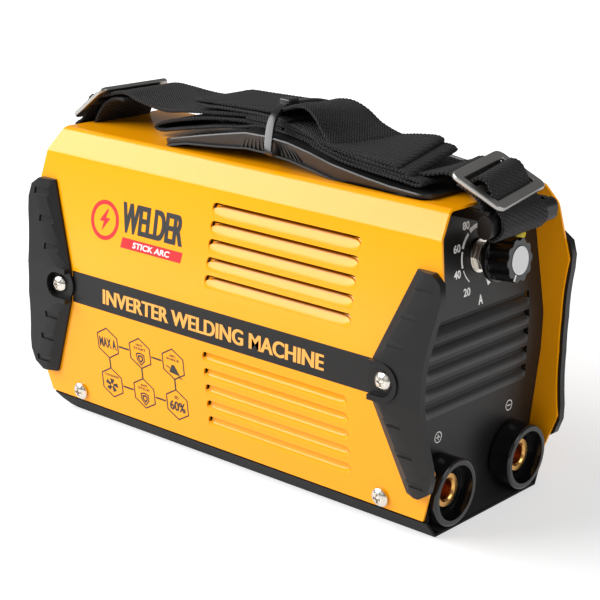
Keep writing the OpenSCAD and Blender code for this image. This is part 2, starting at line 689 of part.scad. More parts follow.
// The cylinder that the pad's top follows, grown by off
module pad_cylinder(off) translate([0, pad_y, pad_top_z - pad_r])
    rod_x(2 * (pad_r + off), -far / 2, far / 2, $fn = 720);
module shoulder_pad() color([0.1, 0.1, 0.1]) intersection() {
    difference() {
        pad_cylinder(0);
        pad_cylinder(-pad_t);
    }
    translate([0, pad_y, case_h]) linear_extrude(60) rounded_rect([pad_w, pad_len], 14);
}
tie_head_x = 12;
// The path of the tie round the bundle and the wider pad
module tie_ring(lo, hi, off) {
    wide = pad_w / 2 + strap_gap + off;
    narrow = strap_w / 2 + 1 + off;
    polygon([[-wide, lo], [wide, lo], [wide, lo + pad_t + 3 * strap_gap + 2 * off], [narrow, hi],
             [-narrow, hi], [-wide, lo + pad_t + 3 * strap_gap + 2 * off]]);
}
module strap_tie() color([0.2, 0.2, 0.2]) {
    hi = bundle_top_z + strap_gap;
    lo = pad_top_z - pad_t - 0.8;
    translate([0, tie_y, 0]) along_y(tie_w) difference() {
        tie_ring(lo - tie_t, hi + tie_t, tie_t);
        tie_ring(lo, hi, 0);
    }
    translate([-tie_head_x - 4, tie_y - 3.5, hi + tie_t - eps]) cube([8, 7, 2.6]);
}

// ================= rear fittings =================
switch_flange = 3;
switch_depth = 20;
rocker_r = 10.4;
rocker_w = 12.6;
rocker_tilt = 8;
rocker_pin_d = 3;
rocker_axis_y = rear_y + 0.5;
module at_switch() translate([switch_x, 0, switch_z]) children();
module switch_housing() color([0.07, 0.07, 0.07]) at_switch() difference() {
    union() {
        box_between([-switch_w / 2, rear_y - switch_depth, -switch_h / 2],
                    [switch_w / 2, rear_y + gap, switch_h / 2]);
        box_between([-switch_w / 2 - switch_flange, rear_y + gap, -switch_h / 2 - switch_flange],
                    [switch_w / 2 + switch_flange, rear_y + gap + 2, switch_h / 2 + switch_flange]);
    }
    translate([0, rocker_axis_y, 0]) rod_x(2 * (rocker_r + 0.4), -rocker_w / 2 - 0.3, rocker_w / 2 + 0.3);
    translate([0, rocker_axis_y, 0])
        rod_x(rocker_pin_d + 2 * run_gap, -rocker_w / 2 - 1.5, rocker_w / 2 + 1.5);
}
module power_rocker() color([0.75, 0.08, 0.06]) at_switch()
    translate([0, rocker_axis_y, 0]) rotate([rocker_tilt, 0, 0]) {
        rotate([90, 0, 90]) linear_extrude(rocker_w, center = true) intersection() {
            circle(rocker_r);
            polygon([[-3, -12], [5.2, -12], [3.4, 0], [5.2, 12], [-3, 12]]);
        }
        rod_x(rocker_pin_d, -rocker_w / 2 - 1.2, rocker_w / 2 + 1.2);
    }
hub_d = 30;
blade_count = 7;
fan_lean_room = (fan_z + fan_size / 2 - kink_z) * tan(panel_lean) + sheet_t + gap;
fan_front_y = rear_y - fan_lean_room;
fan_back_y = fan_front_y - fan_depth;
fan_shaft_d = 3;
module at_fan() translate([0, 0, fan_z]) children();
module at_fan_screws() at_fan() for (x = [-1, 1], z = [-1, 1])
    translate([x * fan_screw_pitch / 2, 0, z * fan_screw_pitch / 2]) children();
module fan_frame() color([0.12, 0.12, 0.12]) {
    at_fan() difference() {
        translate([0, fan_front_y - fan_depth / 2, 0]) along_y(fan_depth)
            rounded_rect([fan_size, fan_size], 4);
        rod_y(fan_hole_d + 2, 0, far / 2);
        for (x = [-1, 1], z = [-1, 1])
            translate([x * fan_screw_pitch / 2, 0, z * fan_screw_pitch / 2])
                rod_y(fan_screw_d + 0.3, 0, far / 2);
    }
    at_fan() difference() {
        union() {
            rod_y(hub_d - 2, fan_back_y, fan_back_y + 3);
            rod_y(hub_d - 8, fan_back_y, fan_back_y + 14);
            for (a = [45 : 90 : 315]) rotate([0, a, 0])
                box_between([hub_d / 2 - 4, fan_back_y, -2], [fan_size / 2 - 1, fan_back_y + 3, 2]);
        }
        rod_y(fan_shaft_d + 2 * run_gap, 0, far / 2);
    }
}
module fan_rotor() color([0.1, 0.1, 0.1]) at_fan() {
    difference() {
        rod_y(hub_d, fan_back_y + 4, fan_front_y - 2);
        rod_y(hub_d - 4, fan_back_y, fan_back_y + 16);
    }
    rod_y(fan_shaft_d, fan_back_y + 2, fan_front_y - 3);
    intersection() {
        for (i = [0 : blade_count - 1]) rotate([0, i * 360 / blade_count, 0])
            translate([0, (fan_back_y + fan_front_y) / 2 + 1, 0]) rotate([38, 0, 0])
                box_between([hub_d / 2 - 1, -0.8, -13], [fan_hole_d / 2 + 3, 0.8, 13]);
        rod_y(fan_hole_d - 1, fan_back_y + 5, fan_front_y - 2.2);
    }
}
guard_wire = 1.8;
ring_count = 5;
module fan_guard() color([0.6, 0.6, 0.6]) at_fan() {
    for (i = [1 : ring_count]) translate([0, rear_y + 2.4, 0]) rotate([90, 0, 0]) rotate_extrude()
        translate([i * (fan_hole_d / 2 + 1) / ring_count, 0]) circle(d = guard_wire);
    for (a = [45 : 90 : 315]) rotate([0, a, 0]) translate([0, rear_y + 1.2, 0]) {
        rod_x(guard_wire, fan_hole_d / 2 / ring_count, fan_screw_pitch / 2 * sqrt(2) - 4);
    }
    for (x = [-1, 1], z = [-1, 1]) translate([x * fan_screw_pitch / 2, 0, z * fan_screw_pitch / 2])
        difference() {
            rod_y(9, rear_y + 0.4, rear_y + 1.8);
            rod_y(fan_screw_d + 0.3, 0, far / 2);
        }
}
module fan_screws() color([0.8, 0.79, 0.76]) at_fan_screws()
    translate([0, rear_y + 1.9, 0]) rotate([-90, 0, 0])
        pan_screw(fan_depth + fan_lean_room + 2, 6.4, fan_screw_d, 2.2);
gland_hex = gland_thread_d + 5;
module cable_gland() color([0.07, 0.07, 0.07]) translate([gland_x, 0, gland_z]) difference() {
    union() {
        rod_y(gland_thread_d, rear_y - 10, rear_y + 1);
        translate([0, rear_y + gap, 0]) rotate([-90, 0, 0]) cylinder(d = gland_hex, h = 4, $fn = 6);
        translate([0, rear_y + 4, 0]) rotate([-90, 0, 0])
            cylinder(d1 = gland_thread_d + 2, d2 = gland_thread_d - 1, h = 8);
    }
    rod_y(cable_d + 0.6, 0, far / 2);
}
module gland_nut() color([0.1, 0.1, 0.1]) translate([gland_x, 0, gland_z]) difference() {
    translate([0, rear_y - sheet_t - gap - 4, 0]) rotate([-90, 0, 0])
        cylinder(d = gland_hex, h = 4, $fn = 6);
    rod_y(gland_thread_d + 2 * gap, 0, far / 2);
}
module earth_screw() color([0.8, 0.7, 0.4]) translate([earth_x, 0, earth_z]) {
    rod_y(earth_d, rear_y - 12, rear_y + 12);
    for (y = [rear_y + gap, rear_y - sheet_t - gap - 3.5]) translate([0, y, 0])
        rotate([-90, 0, 0]) cylinder(d = 9.2, h = 3.5, $fn = 6);
    rod_y(11, rear_y + 3.6, rear_y + 4.6);
}

// ================= electronics =================
board_z = sheet_t + standoff_h;
board_t = 1.6;
board_half_x = 35;
board_front_y = -76;
board_rear_y = 76;
sink_h = 74;
sink_w = 24;
sink_y0 = -8;
sink_y1 = 69.5;
sink_inner_x = 15;
fin_count = 7;
fin_t = 1.6;
module power_board() color([0.05, 0.3, 0.12]) difference() {
    box_between([-board_half_x, board_front_y, board_z], [board_half_x, board_rear_y, board_z + board_t]);
    at_standoffs() translate([0, 0, board_z - 1]) cylinder(d = 3.4, h = 5);
}
module board_standoffs() color([0.75, 0.65, 0.35]) at_standoffs() {
    translate([0, 0, sheet_t]) cylinder(d = 6, h = standoff_h, $fn = 6);
    translate([0, 0, 0.3]) cylinder(d = 3, h = board_z + board_t);
    translate([0, 0, board_z + board_t]) cylinder(d = 5.6, h = 2);
}
module control_board() color([0.05, 0.3, 0.12]) on_upper_panel() difference() {
    box_between([-34, sheet_t + pot_depth + 1.6, 4], [34, sheet_t + pot_depth + 3.2, 52]);
    translate([indicator_x, 0, indicator_up]) rod_y(4, 0, 30);
}
module heatsink() color([0.72, 0.73, 0.74]) {
    z0 = board_z + board_t + 0.2;
    box_between([-sink_inner_x - 4, sink_y0, z0], [-sink_inner_x, sink_y1, z0 + sink_h]);
    for (i = [0 : fin_count - 1]) {
        z = z0 + 1 + i * (sink_h - fin_t - 2) / (fin_count - 1);
        box_between([-sink_inner_x - sink_w, sink_y0, z], [-sink_inner_x - 3, sink_y1, z + fin_t]);
    }
}
module heatsink_left() heatsink();
module heatsink_right() mirror([1, 0, 0]) heatsink();
// A row of flat power packages clamped to a heatsink's inner face
module package_row(count) for (i = [0 : count - 1])
    translate([-sink_inner_x + 0.1, sink_y0 + 6 + i * 18, board_z + board_t + 6]) {
        cube([4.6, 15.6, 20]);
        for (y = [2, 7.3, 12.6]) translate([2, y, -5.8]) cube([0.8, 1, 6]);
    }
module power_transistors() color([0.12, 0.12, 0.12]) package_row(4);
module rectifier_diodes() color([0.12, 0.12, 0.12]) mirror([1, 0, 0]) package_row(4);
core_w = 34;
core_h = 42;
core_d = 20;
core_x = -17.5;
core_y = -46;
module at_core() translate([core_x, core_y, board_z + board_t + 0.2]) children();
module transformer_core() color([0.2, 0.2, 0.22]) at_core() difference() {
    translate([-core_w / 2, -core_d / 2, 0]) cube([core_w, core_d, core_h]);
    for (x = [-1, 1]) translate([x * 9 - 3.5, -core_d, 6]) cube([7, 2 * core_d, core_h - 12]);
}
module transformer_winding() color([0.7, 0.4, 0.15]) at_core()
    translate([0, 0, 6.4]) difference() {
        translate([-11.9, -core_d / 2 - 6, 0]) cube([23.8, core_d + 12, core_h - 12.8]);
        translate([-5.6, -core_d / 2 - 0.2, -1]) cube([11.2, core_d + 0.4, core_h]);
    }
toroid_x = 19.5;
toroid_z = board_z + board_t + 18.9;
module inductor_core() color([0.75, 0.75, 0.3]) translate([toroid_x, core_y, toroid_z]) rotate([90, 0, 0])
    rotate_extrude() translate([12.5, 0]) square([7, 13], center = true);
module inductor_winding() color([0.75, 0.42, 0.18]) translate([toroid_x, core_y, toroid_z])
    for (i = [0 : 13]) rotate([0, -60 + i * 22.5, 0]) translate([12.5, 0, 0]) difference() {
        cube([12.4, 18.4, 2.2], center = true);
        cube([7.6, 13.6, 4], center = true);
    }
cap_d = 16;
cap_h = 40;
cap_pitch = 24;
module bus_capacitors() color([0.1, 0.12, 0.3]) for (i = [0 : 2])
    translate([0, sink_y0 - 10 + i * cap_pitch, board_z + board_t + 0.2]) cylinder(d = cap_d, h = cap_h);
module input_relay() color([0.1, 0.25, 0.6]) translate([0, 64, board_z + board_t + 0.2])
    translate([-8, -6, 0]) cube([16, 16, 20]);
// Copper bars from the rear of the socket inserts up to the board
module output_bar(s) color([0.8, 0.45, 0.2]) at_socket(s) difference() {
    union() {
        box_between([-8, -panel_y + insert_tail + gap, -8], [8, -panel_y + insert_tail + gap + 2, 14]);
        box_between([-8, -panel_y + insert_tail + gap, 12], [8, -panel_y + insert_tail + 16, 14]);
    }
    rod_y(6.4, -panel_y + insert_tail - 5, -panel_y + insert_tail + 10);
}
module output_bar_positive() output_bar(-1);
module output_bar_negative() output_bar(1);
// Insulated leads from the gland to the switch and from the switch to the board
lead_d = 3.2;
module lead(points) {
    for (i = [0 : len(points) - 2]) {
        d = points[i + 1] - points[i];
        translate(points[i]) rotate([0, acos(d[2] / norm(d)), atan2(d[1], d[0])])
            cylinder(d = lead_d, h = norm(d));
    }
    for (i = [1 : len(points) - 2]) translate(points[i]) sphere(d = lead_d + 0.4);
}
module mains_leads() color([0.45, 0.2, 0.1]) {
    lead([[gland_x, rear_y - 11, gland_z], [gland_x, rear_y - 16, gland_z], [gland_x, rear_y - 26, 36],
          [switch_x, rear_y - 26, 36], [switch_x, rear_y - 23, switch_z + 5],
          [switch_x, rear_y - switch_depth - 0.2, switch_z + 5]]);
    lead([[switch_x, rear_y - switch_depth - 0.2, switch_z - 6], [switch_x, rear_y - 26, switch_z - 6],
          [switch_x, rear_y - 37, board_z + board_t + 2]]);
}

cover();
base_tray();
front_panel();
rear_panel();
guard_front_left();
guard_front_right();
guard_rear_left();
guard_rear_right();
guard_screws();
cover_screws();
positive_socket_collar();
negative_socket_collar();
positive_socket_insert();
negative_socket_insert();
socket_lock_nuts();
indicator_holder();
indicator_lens();
potentiometer();
pot_nut();
pot_shaft();
current_knob();
knob_cap();
strap_bar_front();
strap_bar_rear();
buckle_front();
buckle_rear();
strap_loop_front();
strap_loop_rear();
strap_run_front();
strap_run_rear();
strap_bundle();
shoulder_pad();
strap_tie();
switch_housing();
power_rocker();
fan_frame();
fan_rotor();
fan_guard();
fan_screws();
cable_gland();
gland_nut();
earth_screw();
power_board();
board_standoffs();
control_board();
heatsink_left();
heatsink_right();
power_transistors();
rectifier_diodes();
transformer_core();
transformer_winding();
inductor_core();
inductor_winding();
bus_capacitors();
input_relay();
output_bar_positive();
output_bar_negative();
mains_leads();
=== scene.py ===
"""Looks of the compact stick welder: paint, moulded plastic, brass, webbing and printing."""

import json
import math

import bmesh
import bpy
from mathutils import Matrix, Vector


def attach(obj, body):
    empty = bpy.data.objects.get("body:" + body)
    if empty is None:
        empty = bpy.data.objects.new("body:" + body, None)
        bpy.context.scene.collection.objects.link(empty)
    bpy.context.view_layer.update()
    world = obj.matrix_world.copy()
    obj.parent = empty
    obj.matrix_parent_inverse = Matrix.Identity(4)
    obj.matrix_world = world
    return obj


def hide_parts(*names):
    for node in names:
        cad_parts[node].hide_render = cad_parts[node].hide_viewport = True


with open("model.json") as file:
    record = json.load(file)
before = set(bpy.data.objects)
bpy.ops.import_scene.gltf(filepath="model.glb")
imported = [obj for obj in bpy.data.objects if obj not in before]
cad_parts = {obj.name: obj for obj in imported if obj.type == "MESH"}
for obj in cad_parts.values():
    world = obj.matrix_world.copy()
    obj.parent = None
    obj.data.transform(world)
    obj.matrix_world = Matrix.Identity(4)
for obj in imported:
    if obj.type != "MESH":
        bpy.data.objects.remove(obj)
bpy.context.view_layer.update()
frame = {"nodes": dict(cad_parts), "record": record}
MM = 0.001
bpy.ops.object.select_all(action="DESELECT")

# Sizes shared with the CAD, in millimetres
HALF_W = 53.0
BAND_TOP = 78.0
BAND_BOT = 62.0
BAND_MIDDLE = 70.0
SIDE_LEAN = math.radians(8.3)
LEAN = math.tan(SIDE_LEAN)
COS_LEAN = math.cos(SIDE_LEAN)
LOUVRE_PITCH = 8.3
LOUVRE_HEIGHT = 6.3
LOUVRE_COUNT = 5
HALF_LEN = 119.0
WING_FLARE = 4.8
WING_PEAK = 37.5
WING_TOP_Y = 118.2
WING_TOP_RISE = 27.0
WING_FOOT_Y = 116.9
WING_FOOT_DROP = 24.2
GUARD_REACH = 0.7
PANEL_Y = 110.2
KINK_Z = 81.0
PANEL_ANGLE = math.radians(5)
PANEL_LEAN = math.tan(PANEL_ANGLE)
KNOB_Z = 115.5
DIAL_RADIUS = 12.3
DIGITS_RADIUS = 17.2
STRAP_HIDES_Z = 131
PAD_Y = -25.0
PAD_CREST = 157.3

record = frame["record"]
slot_of = {part["node"]: part["material_slot"] for part in record["subparts"]}
body_of = {n: body for body, nodes in record["behaviour"]["bodies"].items() for n in nodes}


# ---------------------------------------------------------------- camera, stage and lights
def set_camera():
    data = bpy.data.cameras.new("camera")
    camera = bpy.data.objects.new("camera", data)
    bpy.context.scene.collection.objects.link(camera)
    right = Vector((0.6439, -0.7645, 0.0290))
    up = Vector((0.2075, 0.2109, 0.9552))
    back = right.cross(up).normalized()
    up = back.cross(right).normalized()
    right.normalize()
    turn = Matrix((right, up, back)).transposed().to_4x4()
    camera.matrix_world = Matrix.Translation(Vector((-580.46, -491.21, 304.65)) * MM) @ turn
    data.lens = 99.93
    data.sensor_width = 36
    data.shift_x = -0.0091
    data.shift_y = 0.0054
    bpy.context.scene.camera = camera


def area_light(name, place, target, size, power, colour=(1, 1, 1)):
    data = bpy.data.lights.new(name, "AREA")
    data.shape = "RECTANGLE"
    data.size, data.size_y = size
    data.energy = power
    data.color = colour
    lamp = bpy.data.objects.new(name, data)
    bpy.context.scene.collection.objects.link(lamp)
    lamp.location = place
    lamp.rotation_euler = (Vector(target) - Vector(place)).to_track_quat("-Z", "Y").to_euler()


def set_stage():
    world = bpy.data.worlds.new("studio")
    bpy.context.scene.world = world
    world.use_nodes = True
    world.node_tree.nodes["Background"].inputs["Color"].default_value = (1, 1, 1, 1)
    world.node_tree.nodes["Background"].inputs["Strength"].default_value = 0.2
    bpy.ops.mesh.primitive_plane_add(size=8, location=(0, 0, -0.0005))
    floor = bpy.context.object
    floor.name = "floor"
    paper = bpy.data.materials.new("pale_floor")
    paper.use_nodes = True
    shader = paper.node_tree.nodes["Principled BSDF"]
    shader.inputs["Base Color"].default_value = (0.55, 0.55, 0.55, 1)
    shader.inputs["Roughness"].default_value = 0.9
    shader.inputs["Emission Color"].default_value = (1, 1, 1, 1)
    tree = paper.node_tree
    place = tree.nodes.new("ShaderNodeTexCoord")
    far_off = tree.nodes.new("ShaderNodeVectorMath")
    far_off.operation = "LENGTH"
    glow = tree.nodes.new("ShaderNodeMapRange")
    for label, value in (("From Min", 0.15), ("From Max", 0.9), ("To Min", 0.55), ("To Max", 0.9)):
        glow.inputs[label].default_value = value
    tree.links.new(place.outputs["Object"], far_off.inputs[0])
    tree.links.new(far_off.outputs["Value"], glow.inputs["Value"])
    tree.links.new(glow.outputs["Result"], shader.inputs["Emission Strength"])
    floor.data.materials.append(paper)
    area_light("rear_bank", (-0.9, 1.0, 0.98), (-0.05, 0, 0.1), (1.5, 1.15), 41)
    area_light("side_box", (-1.35, -0.35, 0.75), (0, 0, 0.07), (0.8, 0.8), 1.4)
    area_light("front_box", (0.1, -1.25, 0.75), (0, 0, 0.07), (0.6, 0.5), 4.5)
    bpy.context.scene.view_settings.view_transform = "Standard"


set_camera()
set_stage()


# ---------------------------------------------------------------- shared shader groups
def new_group(name, inputs, outputs):
    group = bpy.data.node_groups.new(name, "ShaderNodeTree")
    for label, kind, value in inputs:
        socket = group.interface.new_socket(label, in_out="INPUT", socket_type=kind)
        socket.default_value = value
    for label, kind in outputs:
        group.interface.new_socket(label, in_out="OUTPUT", socket_type=kind)
    return group, group.nodes.new("NodeGroupInput"), group.nodes.new("NodeGroupOutput")


def math_node(tree, operation, a, b=None):
    node = tree.nodes.new("ShaderNodeMath")
    node.operation = operation
    for socket, value in zip(node.inputs, (a, b)):
        if value is None:
            continue
        if isinstance(value, (int, float)):
            socket.default_value = value
        else:
            tree.links.new(value, socket)
    return node.outputs[0]


def make_grain_group():
    """Fine moulded or sprayed texture: a height, and a slow variation from 0 to 1."""
    group, given, out = new_group(
        "surface_grain",
        [("Grain Scale", "NodeSocketFloat", 900.0), ("Patch Scale", "NodeSocketFloat", 25.0)],
        [("Height", "NodeSocketFloat"), ("Patches", "NodeSocketFloat")],
    )
    place = group.nodes.new("ShaderNodeTexCoord")
    fine = group.nodes.new("ShaderNodeTexNoise")
    fine.inputs["Detail"].default_value = 3
    slow = group.nodes.new("ShaderNodeTexNoise")
    slow.inputs["Detail"].default_value = 4
    for texture, scale in ((fine, "Grain Scale"), (slow, "Patch Scale")):
        group.links.new(place.outputs["Object"], texture.inputs["Vector"])
        group.links.new(given.outputs[scale], texture.inputs["Scale"])
    group.links.new(fine.outputs["Fac"], out.inputs["Height"])
    group.links.new(slow.outputs["Fac"], out.inputs["Patches"])
    return group


def make_weave_group():
    """Ribbed narrow webbing from the piece's own UV map, which is in millimetres. Its second output is
    the weave height times noise, used as colour: painted shade in the weave's low points and painted
    highlight on its ridges, with random thread tone.
    """
    group, given, out = new_group(
        "webbing_weave",
        [("Rib Pitch", "NodeSocketFloat", 2.1), ("Pick Pitch", "NodeSocketFloat", 1.9)],
        [("Height", "NodeSocketFloat"), ("Painted Weave Shade", "NodeSocketFloat")],
    )
    place = group.nodes.new("ShaderNodeUVMap")
    place.uv_map = "weave"
    apart = group.nodes.new("ShaderNodeSeparateXYZ")
    group.links.new(place.outputs["UV"], apart.inputs[0])
    across = math_node(group, "DIVIDE", apart.outputs["X"], given.outputs["Rib Pitch"])
    along = math_node(group, "DIVIDE", apart.outputs["Y"], given.outputs["Pick Pitch"])
    rib = math_node(group, "SINE", math_node(group, "MULTIPLY", across, 2 * math.pi))
    slant = math_node(group, "ADD", along, math_node(group, "MULTIPLY", across, 0.5))
    pick = math_node(group, "SINE", math_node(group, "MULTIPLY", slant, 2 * math.pi))
    weave = math_node(group, "MULTIPLY_ADD", rib, pick)
    group.nodes[-1].inputs[2].default_value = 0.0
    height = math_node(group, "MULTIPLY_ADD", weave, 0.5)
    group.nodes[-1].inputs[2].default_value = 0.5
    group.links.new(height, out.inputs["Height"])
    fuzz = group.nodes.new("ShaderNodeTexNoise")
    fuzz.inputs["Scale"].default_value = 0.8
    fuzz.inputs["Detail"].default_value = 5
    group.links.new(place.outputs["UV"], fuzz.inputs["Vector"])
    # Painted shade and highlight: the weave height, varied by noise, later sets the webbing's colour.
    painted_weave_shade = math_node(group, "MULTIPLY", height, fuzz.outputs["Fac"])
    group.links.new(painted_weave_shade, out.inputs["Painted Weave Shade"])
    return group


grain_group = make_grain_group()
weave_group = make_weave_group()


def principled(name, colour, rough, metal=0.0, **sockets):
    made = bpy.data.materials.new(name)
    made.use_nodes = True
    shader = made.node_tree.nodes["Principled BSDF"]
    shader.inputs["Base Color"].default_value = (*colour, 1)
    shader.inputs["Roughness"].default_value = rough
    shader.inputs["Metallic"].default_value = metal
    for label, value in sockets.items():
        shader.inputs[label.replace("_", " ")].default_value = value
    return made, made.node_tree, shader


def surfaced(name, colour, rough, metal=0.0, grain=900, depth=0.02, tone=0.15, rough_spread=0.1,
             patches=25, **sockets):
    """A painted, moulded or metal surface with a fine grain and slow changes of tone and gloss."""
    made, tree, shader = principled(name, colour, rough, metal, **sockets)
    group = tree.nodes.new("ShaderNodeGroup")
    group.node_tree = grain_group
    group.inputs["Grain Scale"].default_value = grain
    group.inputs["Patch Scale"].default_value = patches
    bump = tree.nodes.new("ShaderNodeBump")
    bump.inputs["Distance"].default_value = depth * MM
    tree.links.new(group.outputs["Height"], bump.inputs["Height"])
    tree.links.new(bump.outputs["Normal"], shader.inputs["Normal"])
    spread = tree.nodes.new("ShaderNodeMapRange")
    spread.inputs["To Min"].default_value = max(rough - rough_spread, 0.02)
    spread.inputs["To Max"].default_value = min(rough + rough_spread, 1)
    tree.links.new(group.outputs["Patches"], spread.inputs["Value"])
    tree.links.new(spread.outputs["Result"], shader.inputs["Roughness"])
    mix = tree.nodes.new("ShaderNodeMix")
    mix.data_type = "RGBA"
    mix.inputs["A"].default_value = (*[c * (1 - tone) for c in colour], 1)
    mix.inputs["B"].default_value = (*[min(c * (1 + tone), 1) for c in colour], 1)
    tree.links.new(group.outputs["Patches"], mix.inputs["Factor"])
    tree.links.new(mix.outputs["Result"], shader.inputs["Base Color"])
    return made


def woven(name, colour):
    made, tree, shader = principled(name, colour, 0.7, Sheen_Weight=0.04, Specular_IOR_Level=0.3)
    group = tree.nodes.new("ShaderNodeGroup")
    group.node_tree = weave_group
    bump = tree.nodes.new("ShaderNodeBump")
    bump.inputs["Distance"].default_value = 0.8 * MM
    tree.links.new(group.outputs["Height"], bump.inputs["Height"])
    tree.links.new(bump.outputs["Normal"], shader.inputs["Normal"])
    # Painted shade and highlight: the colour runs from a tenth of the webbing's black in the weave's low
    # points to six times it on its ridges.
    mix = tree.nodes.new("ShaderNodeMix")
    mix.data_type = "RGBA"
    mix.inputs["A"].default_value = (*[c * 0.1 for c in colour], 1)
    mix.inputs["B"].default_value = (*[c * 6.0 for c in colour], 1)
    tree.links.new(group.outputs["Painted Weave Shade"], mix.inputs["Factor"])
    tree.links.new(mix.outputs["Result"], shader.inputs["Base Color"])
    return made


YELLOW = (0.96, 0.365, 0.0)
finish_of = {
    "yellow_paint": surfaced("yellow_powder_coat", YELLOW, 0.3, grain=1400, depth=0.006, tone=0.03,
                             rough_spread=0.04, Specular_IOR_Level=0.1, Coat_Weight=0.5,
                             Coat_Roughness=0.1),
    "black_sheet": surfaced("black_textured_paint", (0.007, 0.0065, 0.0065), 0.4, grain=1500, depth=0.03,
                            Specular_IOR_Level=0.35),
    "guard_plastic": surfaced("moulded_guard_plastic", (0.008, 0.0075, 0.0075), 0.36, grain=1200,
                              depth=0.015, tone=0.2, Specular_IOR_Level=0.25),
    "screw_steel": surfaced("nickel_plate", (0.72, 0.68, 0.62), 0.22, 1.0, depth=0.004, patches=300),
    "socket_plastic": surfaced("gloss_black_plastic", (0.006, 0.006, 0.007), 0.16, depth=0.003),
    "brass": surfaced("machined_brass", (0.78, 0.42, 0.13), 0.25, 1.0, depth=0.006, patches=200),
    "cap_metal": surfaced("turned_aluminium", (0.55, 0.55, 0.55), 0.34, 1.0, depth=0.004),
    "indicator_yellow": surfaced("indicator_lens_yellow", (0.75, 0.6, 0.02), 0.1, depth=0.002,
                                 Transmission_Weight=0.35),
    "webbing": woven("black_webbing", (0.006, 0.0055, 0.006)),
    "pad_rubber": surfaced("moulded_pad_rubber", (0.012, 0.0115, 0.0115), 0.34, grain=800, depth=0.015),
    "buckle_metal": surfaced("satin_steel", (0.42, 0.41, 0.39), 0.38, 1.0, grain=1500, depth=0.01),
    "tie_plastic": surfaced("nylon_tie", (0.012, 0.012, 0.013), 0.25, depth=0.004),
    "rocker_red": surfaced("red_rocker_plastic", (0.5, 0.015, 0.01), 0.25, depth=0.004),
    "fan_plastic": surfaced("fan_plastic_black", (0.02, 0.02, 0.02), 0.5, depth=0.02),
    "zinc_wire": surfaced("zinc_plated_wire", (0.6, 0.6, 0.6), 0.3, 1.0, depth=0.005),
    "board_green": surfaced("coated_board", (0.01, 0.11, 0.04), 0.35, depth=0.01),
    "aluminium": surfaced("extruded_aluminium", (0.75, 0.76, 0.77), 0.35, 1.0, depth=0.01),
    "package_black": surfaced("package_resin", (0.03, 0.03, 0.03), 0.45, depth=0.01),
    "ferrite": surfaced("sintered_ferrite", (0.09, 0.09, 0.1), 0.6, depth=0.02),
    "copper": surfaced("bare_copper", (0.8, 0.33, 0.16), 0.3, 1.0, depth=0.01),
    "can_blue": surfaced("sleeve_blue", (0.02, 0.05, 0.2), 0.3, depth=0.005),
    "lead_brown": surfaced("lead_insulation", (0.2, 0.08, 0.04), 0.5, depth=0.01),
}
ink = {
    "black": surfaced("black_ink", (0.012, 0.011, 0.012), 0.4, depth=0.002),
    "red": surfaced("red_ink", (0.6, 0.004, 0.01), 0.35, depth=0.002),
    "white": surfaced("white_ink", (0.85, 0.85, 0.83), 0.4, depth=0.002, tone=0.03),
    "amber": surfaced("amber_ink", (0.85, 0.38, 0.06), 0.4, depth=0.002, tone=0.05),
    "band": surfaced("black_band_foil", (0.008, 0.0075, 0.0075), 0.4, grain=900, depth=0.1,
                     Specular_IOR_Level=0.3),
}
# Painted shade: near black paint for the cover and panel faces that lie deep behind the louvre bands.
louvre_painted_shade = surfaced("inside_shadow_paint", (0.01, 0.01, 0.01), 0.7)
tray_paint = surfaced("tray_textured_paint", (0.006, 0.0055, 0.0055), 0.5, grain=1500, depth=0.03,
                      Specular_IOR_Level=0.1)


def paint_with_painted_shade(name, colour, painted_shade_colour, **settings):
    """Sheet paint with painted shade: its colour darkens towards the given dark colour the further its
    louvre sinks (the "sunk" attribute, in mm).
    """
    made = surfaced(name, colour, 0.3, grain=1400, depth=0.006, **settings)
    tree = made.node_tree
    shader = tree.nodes["Principled BSDF"]
    plain = shader.inputs["Base Color"].links[0].from_socket
    sunk = tree.nodes.new("ShaderNodeAttribute")
    sunk.attribute_name = "sunk"
    shade = tree.nodes.new("ShaderNodeMapRange")
    shade.interpolation_type = "SMOOTHSTEP"
    shade.inputs["From Min"].default_value = 0.85
    shade.inputs["From Max"].default_value = 1.9
    mix = tree.nodes.new("ShaderNodeMix")
    mix.data_type = "RGBA"
    mix.inputs["B"].default_value = (*painted_shade_colour, 1)
    tree.links.new(sunk.outputs["Fac"], shade.inputs["Value"])
    tree.links.new(shade.outputs["Result"], mix.inputs["Factor"])
    tree.links.new(plain, mix.inputs["A"])
    tree.links.new(mix.outputs["Result"], shader.inputs["Base Color"])
    return made


# Painted shade in the louvre bands: yellow turns dark brown, and black turns near black, where the bands
# sink deepest.
yellow_louvre_with_painted_shade = paint_with_painted_shade("yellow_louvre_painted_shade", YELLOW, (0.13, 0.035, 0.0), tone=0.03, rough_spread=0.04,
                       Specular_IOR_Level=0.1, Coat_Weight=0.5, Coat_Roughness=0.15)
black_louvre_with_painted_shade = paint_with_painted_shade("black_louvre_painted_shade", (0.012, 0.0115, 0.0115), (0.001, 0.001, 0.001),
                      Specular_IOR_Level=0.5)


# ---------------------------------------------------------------- making pieces
def only(piece):
    bpy.ops.object.select_all(action="DESELECT")
    piece.select_set(True)
    bpy.context.view_layer.objects.active = piece


def apply_modifier(piece, kind, **settings):
    modifier = piece.modifiers.new(kind.lower(), kind)
    for label, value in settings.items():
        setattr(modifier, label, value)
    only(piece)
    bpy.ops.object.modifier_apply(modifier=modifier.name)


def smooth(piece, angle=35, flatten=False):
    only(piece)
    bpy.ops.object.shade_smooth_by_angle(angle=math.radians(angle))
    if flatten:
        apply_modifier(piece, "WEIGHTED_NORMAL", weight=100, keep_sharp=True)


def mark_sunk(piece, depth_at):
    layer = piece.data.attributes.new("sunk", "FLOAT", "POINT")
    for i, v in enumerate(piece.data.vertices):
        layer.data[i].value = depth_at(v.co / MM)


def finish_piece(piece, slot, body="case", material=None, nodes=()):
    piece.data.materials.clear()
    piece.data.materials.append(material or finish_of[slot])
    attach(piece, body)
    if nodes:
        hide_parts(*nodes)
    return piece


